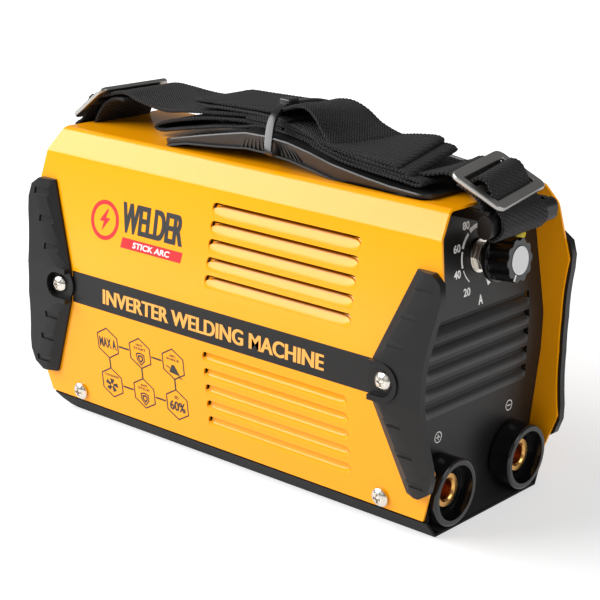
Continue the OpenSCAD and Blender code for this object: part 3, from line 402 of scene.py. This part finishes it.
def rounded_copy(node, bevel=0.35, segments=2, angle=35, material=None):
    """The CAD part again with its edges broken, as pressed, moulded or turned ones are."""
    piece = frame["nodes"][node].copy()
    piece.data = piece.data.copy()
    piece.parent = None
    for key in list(piece.keys()):
        del piece[key]
    piece.name = node + "_finished"
    piece.data.name = piece.name
    bpy.context.scene.collection.objects.link(piece)
    only(piece)
    bpy.ops.object.mode_set(mode="EDIT")
    bpy.ops.mesh.select_all(action="SELECT")
    bpy.ops.mesh.remove_doubles(threshold=0.000002)
    bpy.ops.mesh.dissolve_limited(angle_limit=math.radians(0.5))
    bpy.ops.object.mode_set(mode="OBJECT")
    if bevel:
        apply_modifier(piece, "BEVEL", width=bevel * MM, segments=segments, limit_method="ANGLE",
                       angle_limit=math.radians(38), harden_normals=False)
    smooth(piece, angle, True)
    return finish_piece(piece, slot_of[node], body_of[node], material, (node,))


def mesh_piece(name, points, faces, uvs=None):
    data = bpy.data.meshes.new(name)
    data.from_pydata([Vector(p) * MM for p in points], [], faces)
    piece = bpy.data.objects.new(name, data)
    bpy.context.scene.collection.objects.link(piece)
    if uvs:
        layer = data.uv_layers.new(name="weave")
        for face in data.polygons:
            for loop in face.loop_indices:
                layer.data[loop].uv = uvs[data.loops[loop].vertex_index]
    only(piece)
    bpy.ops.object.mode_set(mode="EDIT")
    bpy.ops.mesh.select_all(action="SELECT")
    bpy.ops.mesh.normals_make_consistent(inside=False)
    bpy.ops.object.mode_set(mode="OBJECT")
    return piece


def catmull(points, step):
    """Points along a smooth curve through the given ones, about step millimetres apart."""
    out = []
    count = len(points)
    for i in range(count - 1):
        p = [points[max(i - 1, 0)], points[i], points[i + 1], points[min(i + 2, count - 1)]]
        span = math.dist(p[1][:3], p[2][:3])
        cuts = max(1, round(span / step))
        for k in range(cuts):
            t = k / cuts
            out.append([
                0.5 * (2 * b + (c - a) * t + (2 * a - 5 * b + 4 * c - d) * t * t
                       + (3 * b - a - 3 * c + d) * t ** 3)
                for a, b, c, d in zip(*p)
            ])
    out.append(list(points[-1]))
    return out


def band_section(width, thick):
    """Outline of flat webbing with round edges: (across, out) pairs."""
    r = thick / 2
    flat = width / 2 - r
    outline = []
    for side in (1, -1):
        for k in range(9):
            outline.append((side * (flat - 2 * flat * k / 8), side * r))
        for a in (-50, 0, 50):
            turn = math.radians(a)
            outline.append((-side * (flat + r * math.cos(turn)), side * r * -math.sin(turn)))
    return outline


def webbing(name, stations, width=37.6, thick=1.5, step=1.0):
    """A strap swept through stations (x, y, z, roll, yaw); returns the piece and its length."""
    path = catmull(stations, step)
    outline = band_section(width, thick)
    points, uvs = [], []
    last = None
    length = 0.0
    for i, (x, y, z, roll, yaw) in enumerate(path):
        here = Vector((x, y, z))
        if last is not None:
            length += (here - last).length
        last = here
        ahead = Vector(path[min(i + 1, len(path) - 1)][:3]) - Vector(path[max(i - 1, 0)][:3])
        r, w = math.radians(roll), math.radians(yaw)
        across = Vector((math.cos(r) * math.cos(w), math.cos(r) * math.sin(w), math.sin(r)))
        ahead = (ahead - ahead.dot(across) * across).normalized()
        out = across.cross(ahead)
        swell = 0.22 if i % 2 else -0.12
        for a, b in outline:
            if abs(a) > width / 2 - thick:
                a, b = a + math.copysign(swell, a), b * (1 + swell)
            points.append(here + across * a + out * b)
            uvs.append((a + (0 if b >= 0 else 0.7), length))
    n = len(outline)
    faces = []
    for i in range(len(path) - 1):
        for j in range(n):
            k = (j + 1) % n
            faces.append((i * n + j, i * n + k, (i + 1) * n + k, (i + 1) * n + j))
    faces.append(tuple(range(n)))
    faces.append(tuple((len(path) - 1) * n + j for j in range(n)))
    piece = mesh_piece(name, points, faces, uvs)
    smooth(piece, 40)
    return piece, length


# ---------------------------------------------------------------- shell, guards and fittings
cover = rounded_copy("cover", 0.3, 2)
rounded_copy("base_tray", 0.35, 2, material=tray_paint)
panel = rounded_copy("front_panel", 0.25, 2)
rounded_copy("rear_panel", 0.25, 2)


def wing_edge(z):
    """How far the cover's front and rear edges are from the middle, at a height."""
    up = abs(z - BAND_MIDDLE)
    if up <= WING_PEAK:
        return HALF_LEN + WING_FLARE * (up / WING_PEAK) ** 2
    peak = HALF_LEN + WING_FLARE
    if z > BAND_MIDDLE:
        return peak + (WING_TOP_Y - peak) * (up - WING_PEAK) / WING_TOP_RISE
    return peak + (WING_FOOT_Y - peak) * (up - WING_PEAK) / WING_FOOT_DROP


for corner in ("front_left", "front_right", "rear_left", "rear_right"):
    guard = rounded_copy("guard_" + corner, 0.45, 3)
    for v in guard.data.vertices:
        x, y, z = v.co / MM
        if abs(y) > wing_edge(z) + 0.1:
            v.co.y += math.copysign(GUARD_REACH, y) * MM
for node in ("guard_screws", "cover_screws", "fan_screws", "pot_nut"):
    rounded_copy(node, 0.12, 1)
for node in ("positive_socket_collar", "negative_socket_collar"):
    rounded_copy(node, 0.4, 3, 40)
for node in ("positive_socket_insert", "negative_socket_insert", "cable_gland", "earth_screw",
             "gland_nut", "indicator_holder", "current_knob"):
    rounded_copy(node, 0.25, 2)
for node in ("buckle_front", "buckle_rear"):
    rounded_copy(node, 0.7, 3, 60)
for node in ("strap_bar_front", "strap_bar_rear"):
    rounded_copy(node, 0.8, 3, 50)
for node in ("knob_cap", "indicator_lens", "switch_housing", "power_rocker", "fan_frame", "fan_rotor",
             "fan_guard", "pot_shaft", "socket_lock_nuts"):
    rounded_copy(node, 0.15, 2)
for node, part in frame["nodes"].items():
    part.data.materials.clear()
    part.data.materials.append(finish_of[slot_of[node]])


# ---------------------------------------------------------------- pressed louvre bands
def side_x(z):
    return HALF_W - LEAN * max(z - BAND_TOP, BAND_BOT - z, 0)


def pressed_band(y0, y1, z0, height, depth, end, wall, to_place, late=False):
    """One louvre's pressed band: flush at its foot and ends, sunk at its upper edge, late or evenly."""
    columns, rows = 40, 9
    points = []
    for layer in (0.0, wall):
        for i in range(columns + 1):
            u = i / columns
            u = u - math.sin(4 * math.pi * u) / (4 * math.pi) * 0.9
            y = y0 + (y1 - y0) * u
            near_end = min(min(y - y0, y1 - y) / end, 1)
            hold = 1 - (1 - near_end) ** 2
            tall = height * (1 - 0.5 * (1 - near_end) ** 2)
            for j in range(rows + 1):
                t = j / rows
                bow = 0.9 * t ** 2.2 if late else 0.8 * (1 - math.sqrt(1 - (0.99 * t) ** 2))
                sunk = depth * hold * ((0.1 if late else 0.2) * t + bow)
                points.append(to_place(y, z0 + tall * t, sunk + layer - 0.04))
    faces = []
    size = (columns + 1) * (rows + 1)
    for layer in (0, size):
        for i in range(columns):
            for j in range(rows):
                a = layer + i * (rows + 1) + j
                faces.append((a, a + 1, a + rows + 2, a + rows + 1))
    rim = [i * (rows + 1) for i in range(columns + 1)]
    rim += [columns * (rows + 1) + j for j in range(1, rows + 1)]
    rim += [i * (rows + 1) + rows for i in range(columns - 1, -1, -1)]
    rim += [j for j in range(rows - 1, 0, -1)]
    for a, b in zip(rim, rim[1:] + rim[:1]):
        faces.append((a, b, b + size, a + size))
    return points, faces


def joined(name, shapes):
    points, faces = [], []
    for shape_points, shape_faces in shapes:
        faces += [tuple(i + len(points) for i in face) for face in shape_faces]
        points += shape_points
    return mesh_piece(name, points, faces)


def darken(piece, is_inside):
    """Paints the sunken faces behind the bands near black: painted shade for the unlit inside of the
    case.
    """
    piece.data.materials.append(louvre_painted_shade)
    for face in piece.data.polygons:
        if is_inside(face.center / MM):
            face.material_index = 1


def behind_side_band(c):
    return -80 < c.y < 8 and abs(c.x) < side_x(c.z) - 1.4 and 15 < c.z < 128


def behind_front_band(c):
    return abs(c.x) < 40.5 and 48 < c.z < 93 and -PANEL_Y + 1.4 < c.y < -100


# Painted shade on the faces behind the side and front louvre bands.
darken(cover, behind_side_band)
darken(panel, behind_front_band)
louvre_feet = [BAND_TOP + (9.4 + LOUVRE_PITCH * i) * COS_LEAN for i in range(LOUVRE_COUNT)]
louvre_feet += [BAND_BOT - (5 + LOUVRE_HEIGHT + LOUVRE_PITCH * i) * COS_LEAN
                for i in range(LOUVRE_COUNT)]
for side, label in ((-1, "left"), (1, "right")):
    shapes = [
        pressed_band(-78.4, 6.4, z + 0.1, 5.8, 3.7 if z > BAND_MIDDLE else 4.4, 9, 0.5,
                     lambda y, h, d: (side * (side_x(h) - d), y, h), z < BAND_MIDDLE)
        for z in louvre_feet
    ]
    bands = joined("side_louvre_bands_" + label, shapes)
    smooth(bands, 50)
    # The sunk depth drives the painted shade of the side bands.
    mark_sunk(bands, lambda c: side_x(c.z) - abs(c.x))
    finish_piece(bands, "yellow_paint", material=yellow_louvre_with_painted_shade)


def panel_face_y(z):
    return -PANEL_Y + max(z - KINK_Z, 0) * PANEL_LEAN


shapes = [
    pressed_band(-39.4, 39.4, 92 - 8.7 * i - 7.1, 6.5, 4.0, 7, 0.5,
                 lambda x, h, d: (x, panel_face_y(h) + d, h))
    for i in range(5)
]
bands = joined("front_louvre_bands", shapes)
smooth(bands, 50)
# The sunk depth drives the painted shade of the front bands.
mark_sunk(bands, lambda c: c.y - panel_face_y(c.z))
finish_piece(bands, "black_sheet", material=black_louvre_with_painted_shade)


# ---------------------------------------------------------------- shoulder strap
def pad_top(y):
    rows = ((-102, 145.6), (-82.5, 146.6), (-68, 148.3), (-50, 151), (-38, 154), (-25, 156.4),
            (-12, 157.4), (0, 157.2), (12, 154.9), (28, 151.6), (44, 148), (52.5, 146))
    y = min(max(y, rows[0][0]), rows[-1][0])
    for (y0, z0), (y1, z1) in zip(rows, rows[1:]):
        if y <= y1:
            t = (y - y0) / (y1 - y0)
            return z0 + (z1 - z0) * t


def sideways(y):
    """The tied bundle drifts towards the left side as it runs forwards."""
    return -8 * min(max((10 - y) / 60, 0), 1)


def stations(rows, yaw=0):
    """Rows of (y, z), (y, z, roll) or (y, z, roll, yaw)."""
    out = []
    for row in rows:
        y, z = row[:2]
        roll = row[2] if len(row) > 2 else 0
        turn = row[3] if len(row) > 3 else yaw
        out.append((sideways(y), y, z, roll, turn))
    return out


def strap(name, rows, nodes=(), x=None, width=37.6):
    path = stations(rows)
    if x is not None:
        path = [(x, *row[1:]) for row in path]
    piece, length = webbing(name, path, width)
    finish_piece(piece, "webbing", nodes=nodes)
    return piece


strap("strap_fold_lower", [
    (-14, 159.2), (-35, 156), (-50, 153.5), (-65, 151.8), (-82, 150.4), (-91, 149.6), (-94.4, 148.6),
    (-91, 147.6), (-82, 148.6), (-65, 150), (-50, 151.8), (-35, 154.6), (-25, 157), (0, 158.2),
    (15, 155.7), (30, 153.6), (45, 150.8), (58, 148.2), (66, 146.6), (70.6, 147.4), (68, 149.4),
    (60, 151.9), (45, 155.2), (30, 157.4), (15, 158.6), (0, 158.9), (-12, 158.9)],
    ("strap_bundle",))
strap("strap_fold_front", [
    (12, 160.4), (-14, 160.6), (-35, 158.2), (-50, 156.4, 2), (-62, 155.6, 6, 2), (-76, 155.4, 9, 3),
    (-83.5, 155.1, 10, 3), (-86.4, 153.8, 10, 3), (-83.5, 152.6, 10, 3), (-74, 152.8, 8, 3),
    (-60, 153.4, 5, 2), (-46, 154.6, 2)])
strap("strap_fold_upper", [
    (-16, 163.2), (5, 163.4), (25, 163), (38, 162.4), (44.6, 163.3), (41, 164.6),
    (25, 165), (5, 165.6), (-7, 166.3), (-15, 168.6, 0, -3), (-23, 170, -3, -6),
    (-31, 168.8, -7, -10), (-38, 165, -8, -14), (-44, 161, -2, -16), (-48.6, 158.6, 2, -16),
    (-50.6, 157, 4, -16), (-48.4, 155.6, 4, -16), (-42, 157, 2, -14), (-34, 159.4, 0, -10),
    (-22, 161.8, 0, -3)])
strap("strap_rear_webbing", [
    (92, 157.6), (100, 157), (106, 153.5), (110.6, 147.5), (114, 141), (118.6, 136),
    (119.3, 132.5), (123.8, 129.3), (128.4, 132.5), (128.6, 137), (126.5, 141), (121.5, 144.4),
    (118.6, 149.6), (117, 154.6), (114.9, 156.6), (111.5, 156.9), (108.2, 157.4),
    (102.7, 158.9), (96, 160.7), (90, 161.2, 1), (82, 159.9, 4), (65, 158.2, 6), (50, 159.3, 4),
    (30, 160.6, 2), (10, 161.6), (-14, 161.9), (-30, 160.4), (-40, 158.2, 1), (-52, 157.3, 3),
    (-66, 157.6, 8, 3), (-76, 157.6, 11, 4), (-79.6, 156.6, 11, 4), (-77, 155.6, 10, 4),
    (-66, 155.9, 7, 3), (-52, 156, 2)],
    ("strap_loop_rear", "strap_run_rear"))
strap("strap_front_webbing", [
    (-70, 151.6), (-84, 150.6), (-92, 152, 0, 5), (-98, 154, 1, 9), (-104.7, 153.6, 2, 11),
    (-108.5, 152.6, 3, 11), (-111.4, 153.3, 3, 11), (-114.4, 155, 3, 11), (-118.1, 154.4, 3, 11),
    (-121, 151.4, 3, 11), (-122.8, 147.6, 2, 10), (-125.4, 143.4, 1, 8), (-129.2, 140, 0, 5),
    (-130.5, 137, 0, 3), (-130.4, 133, 0, 2), (-125.8, 129.2, 0, 2), (-121.2, 133, 0, 2),
    (-120.6, 138, 0, 4), (-117.5, 143.6, 1, 8), (-112, 147.8, 2, 11), (-104, 150.8, 2, 11)],
    ("strap_loop_front", "strap_run_front"), x=-2.5, width=36.6)


def pad_mesh():
    """Moulded pad: arched, thick in the middle, with leaning sides, a raised rim and a foot lip."""
    rows, columns = 96, 24
    points, faces = [], []
    for i in range(rows + 1):
        u = -1 + 2 * i / rows
        y = PAD_Y + 76.8 * u
        corner = max(0.0, abs(u) - 0.93) / 0.07
        shrink = 4.5 * (1 - math.sqrt(max(0.0, 1 - corner * corner)))
        top = pad_top(y)
        thick = 3.4 + 5.2 * max(0.0, 1 - (u / 0.8) ** 2)
        half_top = 32.6 - shrink
        half_foot = half_top - 0.3 - 2.2 * max(0.0, 1 - (u / 0.8) ** 2)
        outline = [(-half_top - 0.4, top - 0.3), (-half_top, top + 0.25), (-half_top + 1.0, top + 0.3),
                   (-half_top + 1.5, top - 0.4)]
        outline += [(half_top * k / columns * 2 - half_top, top - 0.5) for k in range(2, columns - 1)]
        outline += [(-a, b) for a, b in outline[3::-1]]
        outline += [(half_foot, top - thick + 1.1), (half_foot + 0.9, top - thick + 0.9),
                    (half_foot + 0.9, top - thick), (0, top - thick),
                    (-half_foot - 0.9, top - thick), (-half_foot - 0.9, top - thick + 0.9),
                    (-half_foot, top - thick + 1.1)]
        ring_count = len(outline)
        points += [(x, y, max(z, 143.9)) for x, z in outline]
    for i in range(rows):
        for j in range(ring_count):
            k = (j + 1) % ring_count
            faces.append((i * ring_count + j, i * ring_count + k, (i + 1) * ring_count + k,
                          (i + 1) * ring_count + j))
    faces.append(tuple(range(ring_count)))
    faces.append(tuple(rows * ring_count + j for j in range(ring_count)))
    return points, faces


def pad_rib(side, k):
    """One rib on the pad's leaning side, fanned out from the tie."""
    y0 = -14 + 1.9 * k + math.copysign(2, k)
    y1 = y0 + 0.7 * k
    top, foot = pad_top(y0) - 1.2, pad_top(y1) - 7
    points = []
    for y, z, x in ((y0, top, 32.4), (y1, foot, 30.9)):
        for a, b in ((-0.3, -0.6), (-0.3, 0.25), (0.3, 0.25), (0.3, -0.6)):
            points.append((side * (x + b), y + a, z))
    return points, [(0, 1, 2, 3), (4, 5, 6, 7), (0, 1, 5, 4), (1, 2, 6, 5), (2, 3, 7, 6), (3, 0, 4, 7)]


pad = joined("shoulder_pad_moulding", [pad_mesh()] + [pad_rib(side, k) for side in (-1, 1)
                                                     for k in range(-6, 7) if k])
smooth(pad, 42)
finish_piece(pad, "pad_rubber", nodes=("shoulder_pad",))


def tie_band():
    """The nylon tie round the bundle and the pad: a flat band through listed points."""
    loop = [(-34.5, -16, 151.6), (-33.2, -15, 155), (-29, -12.5, 162), (-24, -11, 166.6),
            (-15, -8, 168.6), (0, -7, 168.4), (10, -8, 167.4), (18, -9, 165), (27, -12, 159),
            (33.6, -15, 154.6), (34.4, -16, 151.6), (31, -17, 150.5), (0, -17.5, 151.6),
            (-31, -17, 150.5), (-34.5, -16, 151.6)]
    path = catmull([(*p, 0, 0) for p in loop], 1.5)[:-1]
    points, faces = [], []
    count = len(path)
    middle = Vector((0, -13, 159))
    for i, (x, y, z, _, _) in enumerate(path):
        here = Vector((x, y, z))
        ahead = Vector(path[(i + 1) % count][:3]) - Vector(path[i - 1][:3])
        across = Vector((0, 1, 0))
        out = ahead.cross(across).normalized()
        if out.dot(here - middle) < 0:
            out = -out
        for a, b in ((-2.3, 0), (-2.0, 1.1), (0, 1.4), (2.0, 1.1), (2.3, 0), (0, -0.1)):
            points.append(here + across * a + out * b)
    for i in range(count):
        for j in range(6):
            k = (j + 1) % 6
            n = (i + 1) % count
            faces.append((i * 6 + j, i * 6 + k, n * 6 + k, n * 6 + j))
    return points, faces


tie = joined("strap_tie_band", [tie_band()])
smooth(tie, 40)
finish_piece(tie, "tie_plastic", nodes=("strap_tie",))
bpy.ops.mesh.primitive_cube_add(size=1)
head = bpy.context.object
head.name = "strap_tie_head"
for v in head.data.vertices:
    v.co = Vector((v.co.x * 7 - 12, v.co.y * 6.4 - 8, v.co.z * 4 + 169.6)) * MM
apply_modifier(head, "BEVEL", width=0.8 * MM, segments=3)
smooth(head)
finish_piece(head, "tie_plastic")


# ---------------------------------------------------------------- printing
def text_mesh(words, offset=0.0):
    bpy.ops.object.text_add()
    label = bpy.context.object
    label.data.body = words
    label.data.offset = offset
    label.data.extrude = 0.01
    label.data.resolution_u = 4
    bpy.ops.object.convert(target="MESH")
    return bpy.context.object


def fit_to(piece, u0, u1, v0, v1, lift, shear=0.0):
    """Fits a flat mesh into a box on a printed face: (along, up, out) in millimetres."""
    xs = [v.co.x for v in piece.data.vertices]
    ys = [v.co.y for v in piece.data.vertices]
    for v in piece.data.vertices:
        a = (v.co.x - min(xs)) / (max(xs) - min(xs)) * (u1 - u0) + u0
        b = (v.co.y - min(ys)) / (max(ys) - min(ys)) * (v1 - v0) + v0
        v.co = (a + shear * (b - v0), b, lift if v.co.z > 0 else -0.1)


def outline_mesh(outline, lift=0.08, hole=None):
    """A flat raised shape from its outline, with an optional inner outline of the same count."""
    n = len(outline)
    points = [(*p, lift) for p in outline] + [(*p, -0.1) for p in outline]
    faces = [(i, (i + 1) % n, n + (i + 1) % n, n + i) for i in range(n)]
    if hole:
        points += [(*p, lift) for p in hole] + [(*p, -0.1) for p in hole]
        for i in range(n):
            k = (i + 1) % n
            faces += [(i, k, 2 * n + k, 2 * n + i), (n + i, n + k, 3 * n + k, 3 * n + i),
                      (2 * n + i, 2 * n + k, 3 * n + k, 3 * n + i)]
    else:
        faces += [tuple(range(n)), tuple(range(n, 2 * n))]
    data = bpy.data.meshes.new("print")
    data.from_pydata(points, [], faces)
    piece = bpy.data.objects.new("print", data)
    bpy.context.scene.collection.objects.link(piece)
    return piece


def ring(u, v, r, width, sides=40, turn=90.0, lift=0.08):
    def at(radius):
        return [(u + radius * math.cos(math.radians(turn + 360 * i / sides)),
                 v + radius * math.sin(math.radians(turn + 360 * i / sides))) for i in range(sides)]
    return outline_mesh(at(r), lift, at(r - width))


def line(u0, v0, u1, v1, width=0.8, lift=0.08):
    along = Vector((u1 - u0, v1 - v0)).normalized() * width / 2
    n = Vector((-along.y, along.x))
    return outline_mesh([(u0 + n.x, v0 + n.y), (u0 - n.x, v0 - n.y), (u1 - n.x, v1 - n.y),
                         (u1 + n.x, v1 + n.y)], lift)


def printed(name, pieces, place, material, slot, body="case", cuts=0):
    """Joins flat prints and wraps them on a face by place(along, up, out)."""
    bpy.ops.object.select_all(action="DESELECT")
    for piece in pieces:
        piece.select_set(True)
    bpy.context.view_layer.objects.active = pieces[0]
    if len(pieces) > 1:
        bpy.ops.object.join()
    piece = bpy.context.object
    piece.name = name
    piece.data.name = name
    if cuts:
        bpy.ops.object.mode_set(mode="EDIT")
        bpy.ops.mesh.select_all(action="SELECT")
        bpy.ops.mesh.subdivide(number_cuts=cuts)
        bpy.ops.object.mode_set(mode="OBJECT")
    for v in piece.data.vertices:
        v.co = Vector(place(*v.co)) * MM
    bpy.ops.object.mode_set(mode="EDIT")
    bpy.ops.mesh.select_all(action="SELECT")
    bpy.ops.mesh.normals_make_consistent(inside=False)
    bpy.ops.object.mode_set(mode="OBJECT")
    finish_piece(piece, slot, body, material)
    return piece


def word(words, u0, u1, v0, v1, lift=0.08, offset=0.0, shear=0.0):
    piece = text_mesh(words, offset)
    fit_to(piece, u0, u1, v0, v1, lift, shear)
    return piece


def bold_word(words, u0, u1, v0, v1, lift, offset, spread):
    """A heavier word: three copies side by side, spread millimetres apart."""
    return [word(words, u0 + k * spread, u1 + k * spread, v0, v1, lift + 0.01 * k, offset)
            for k in (-1, 0, 1)]


def pictograms():
    """Six plain hexagon badges in two rows, joined by short links."""
    marks = []
    columns = (-70.8, -48.6, -26.5)
    for row, v in enumerate((45.2, 24.1)):
        for i, u in enumerate(columns):
            marks.append(ring(u, v, 8.2, 0.75, 6))
            if i < 2:
                marks.append(line(u + 7.6, v, columns[i + 1] - 7.6, v, 0.9))
    for u in columns:
        marks.append(line(u, 37.2, u, 32.1, 0.9))
    marks.append(word("MAX A", -76.6, -65, 42.6, 47.8, offset=0.03))
    for u, v, upper, lower in ((-48.6, 45.2, "HOT", "START"), (-26.5, 45.2, "ARC", "FORCE"),
                               (-48.6, 24.1, "ANTI", "STICK")):
        marks.append(word(upper, u - 2.2, u + 2.2, v + 3.6, v + 4.8, offset=0.02))
        marks.append(word(lower, u - 4, u + 4, v + 1.7, v + 2.9, offset=0.02))
    marks.append(word("COOLING", -75.6, -66, 27.2, 28.4, offset=0.02))
    for v in (42.4, 21.3):
        badge = [(-3, 2.6), (0, 3.4), (3, 2.6), (2.8, -1), (0, -4), (-2.8, -1)]
        for outer, inner in ((0.95, 0.741), (0.57, 0.285)):
            rim, hole = ([(-48.6 + a * size, v + b * size) for a, b in badge] for size in (outer, inner))
            marks.append(outline_mesh(rim, 0.08, hole))
    marks.append(outline_mesh([(-27.5, 44.8), (-25.9, 44.8), (-22.6, 39.8), (-29.6, 40.6)]))
    marks.append(line(-31.5, 43.6, -28.8, 42.6, 0.5))
    marks.append(line(-24, 39.4, -21.3, 38.4, 0.5))
    for k in range(5):
        turn = math.radians(72 * k + 15)
        blade = [(0.9, -0.6), (3.9, -1.8), (4.1, 0.9), (0.9, 0.7)]
        marks.append(outline_mesh([(-71.4 + a * math.cos(turn) - b * math.sin(turn),
                                    22.6 + (a * math.sin(turn) + b * math.cos(turn)) * 0.85)
                                   for a, b in blade]))
    marks.append(word("ED", -27.8, -25.2, 27, 28.6, offset=0.02))
    marks.append(word("60%", -31.6, -21.4, 20.6, 25.8, offset=0.03))
    return marks


for side, label in ((-1, "left"), (1, "right")):
    def on_side(u, v, w):
        return side * (side_x(v) + w), side * u, v

    band = outline_mesh([(-92.6 + 185.2 * i / 20, 62.1) for i in range(21)]
                        + [(92.6 - 185.2 * i / 20, 77.9) for i in range(21)], 0.05)
    printed("side_band_" + label, [band], on_side, ink["band"], "black_sheet")
    printed("band_words_" + label,
            bold_word("INVERTER WELDING MACHINE", -71.2, 66, 65.6, 73, 0.12, 0.012, 0.3),
            on_side, ink["amber"], "yellow_paint")
    mark = [ring(-74, 106, 9.5, 2.0, 48),
            outline_mesh([(-74 + a * 1.35, 106 + b * 1.35) for a, b in
                          [(0.9, 4), (-2.6, -0.5), (-0.4, -0.5), (-1.2, -4), (2.6, 0.9), (0.4, 0.9),
                           (1.6, 4)]]),
            outline_mesh([(-62, 95.2), (-22.5, 95.2), (-21.6, 100.2), (-61.1, 100.2)])]
    printed("round_mark_" + label, mark, on_side, ink["red"], "yellow_paint")
    printed("mark_words_" + label,
            bold_word("WELDER", -62.3, -23, 102.6, 116.8, 0.08, 0.015, 0.5),
            on_side, ink["black"], "yellow_paint")
    printed("mark_small_words_" + label, [word("STICK ARC", -54, -30, 96.3, 99.1, 0.14, 0.02, 0.15)],
            on_side, ink["white"], "yellow_paint")
    printed("pictograms_" + label, pictograms(), on_side, ink["black"], "yellow_paint")


def on_panel(u, v, w):
    return u, panel_face_y(v) - w, v


def dial_angle(step):
    """Where a step of the dial lies, in degrees round the knob."""
    return 237 - 38.2 * step


def dial_arc(step, radius):
    """Points along one step of the dial, clear of the marks at its two ends."""
    start, stop = dial_angle(step) - 3, dial_angle(step + 1) + 3
    turns = [math.radians(start + (stop - start) * k / 6) for k in range(7)]
    return [(radius * math.cos(a), KNOB_Z + radius * math.sin(a)) for a in turns]


scale = []
for i in range(8):
    a = math.radians(dial_angle(i))
    u, v = DIGITS_RADIUS * math.cos(a), KNOB_Z + DIGITS_RADIUS * math.sin(a)
    digits = str(20 + 20 * i)
    half = 1.25 * len(digits)
    if v < STRAP_HIDES_Z:
        scale.append(word(digits, u - half, u + half, v - 1.8, v + 1.8, 0.06, 0.025))
for i in range(8):
    thick = 0.6 + 0.45 * i
    scale.append(outline_mesh(dial_arc(i, DIAL_RADIUS) + dial_arc(i, DIAL_RADIUS + thick)[::-1], 0.06))
scale.append(word("A", -0.9, 2.5, 93.6, 98, 0.06, 0.03))
for u in (-27.5, 27.5):
    scale.append(ring(u, 40, 2.6, 0.4, 32))
    scale.append(line(u - 1.3, 40, u + 1.3, 40, 0.5))
scale.append(line(-27.5, 38.7, -27.5, 41.3, 0.5))
printed("panel_scale", scale, on_panel, ink["white"], "black_sheet")


def on_knob(u, v, w):
    """Along and up on the knob's face, out of the panel."""
    forward = w * math.cos(PANEL_ANGLE) - v * math.sin(PANEL_ANGLE)
    upward = w * math.sin(PANEL_ANGLE) + v * math.cos(PANEL_ANGLE)
    return u, panel_face_y(KNOB_Z) - forward, KNOB_Z + upward


pointer_angle = math.radians(240)
tip, root = 9.5, 6.6
ca, sa = math.cos(pointer_angle), math.sin(pointer_angle)
pointer = outline_mesh([(r * ca - half * sa, r * sa + half * ca)
                        for r, half in ((root, 0.4), (tip, 0.4), (tip, -0.4), (root, -0.4))])
for v in pointer.data.vertices:
    v.co.z = 21.08 if v.co.z > 0 else 20.8
printed("knob_pointer", [pointer], on_knob, ink["white"], "socket_plastic", "knob")
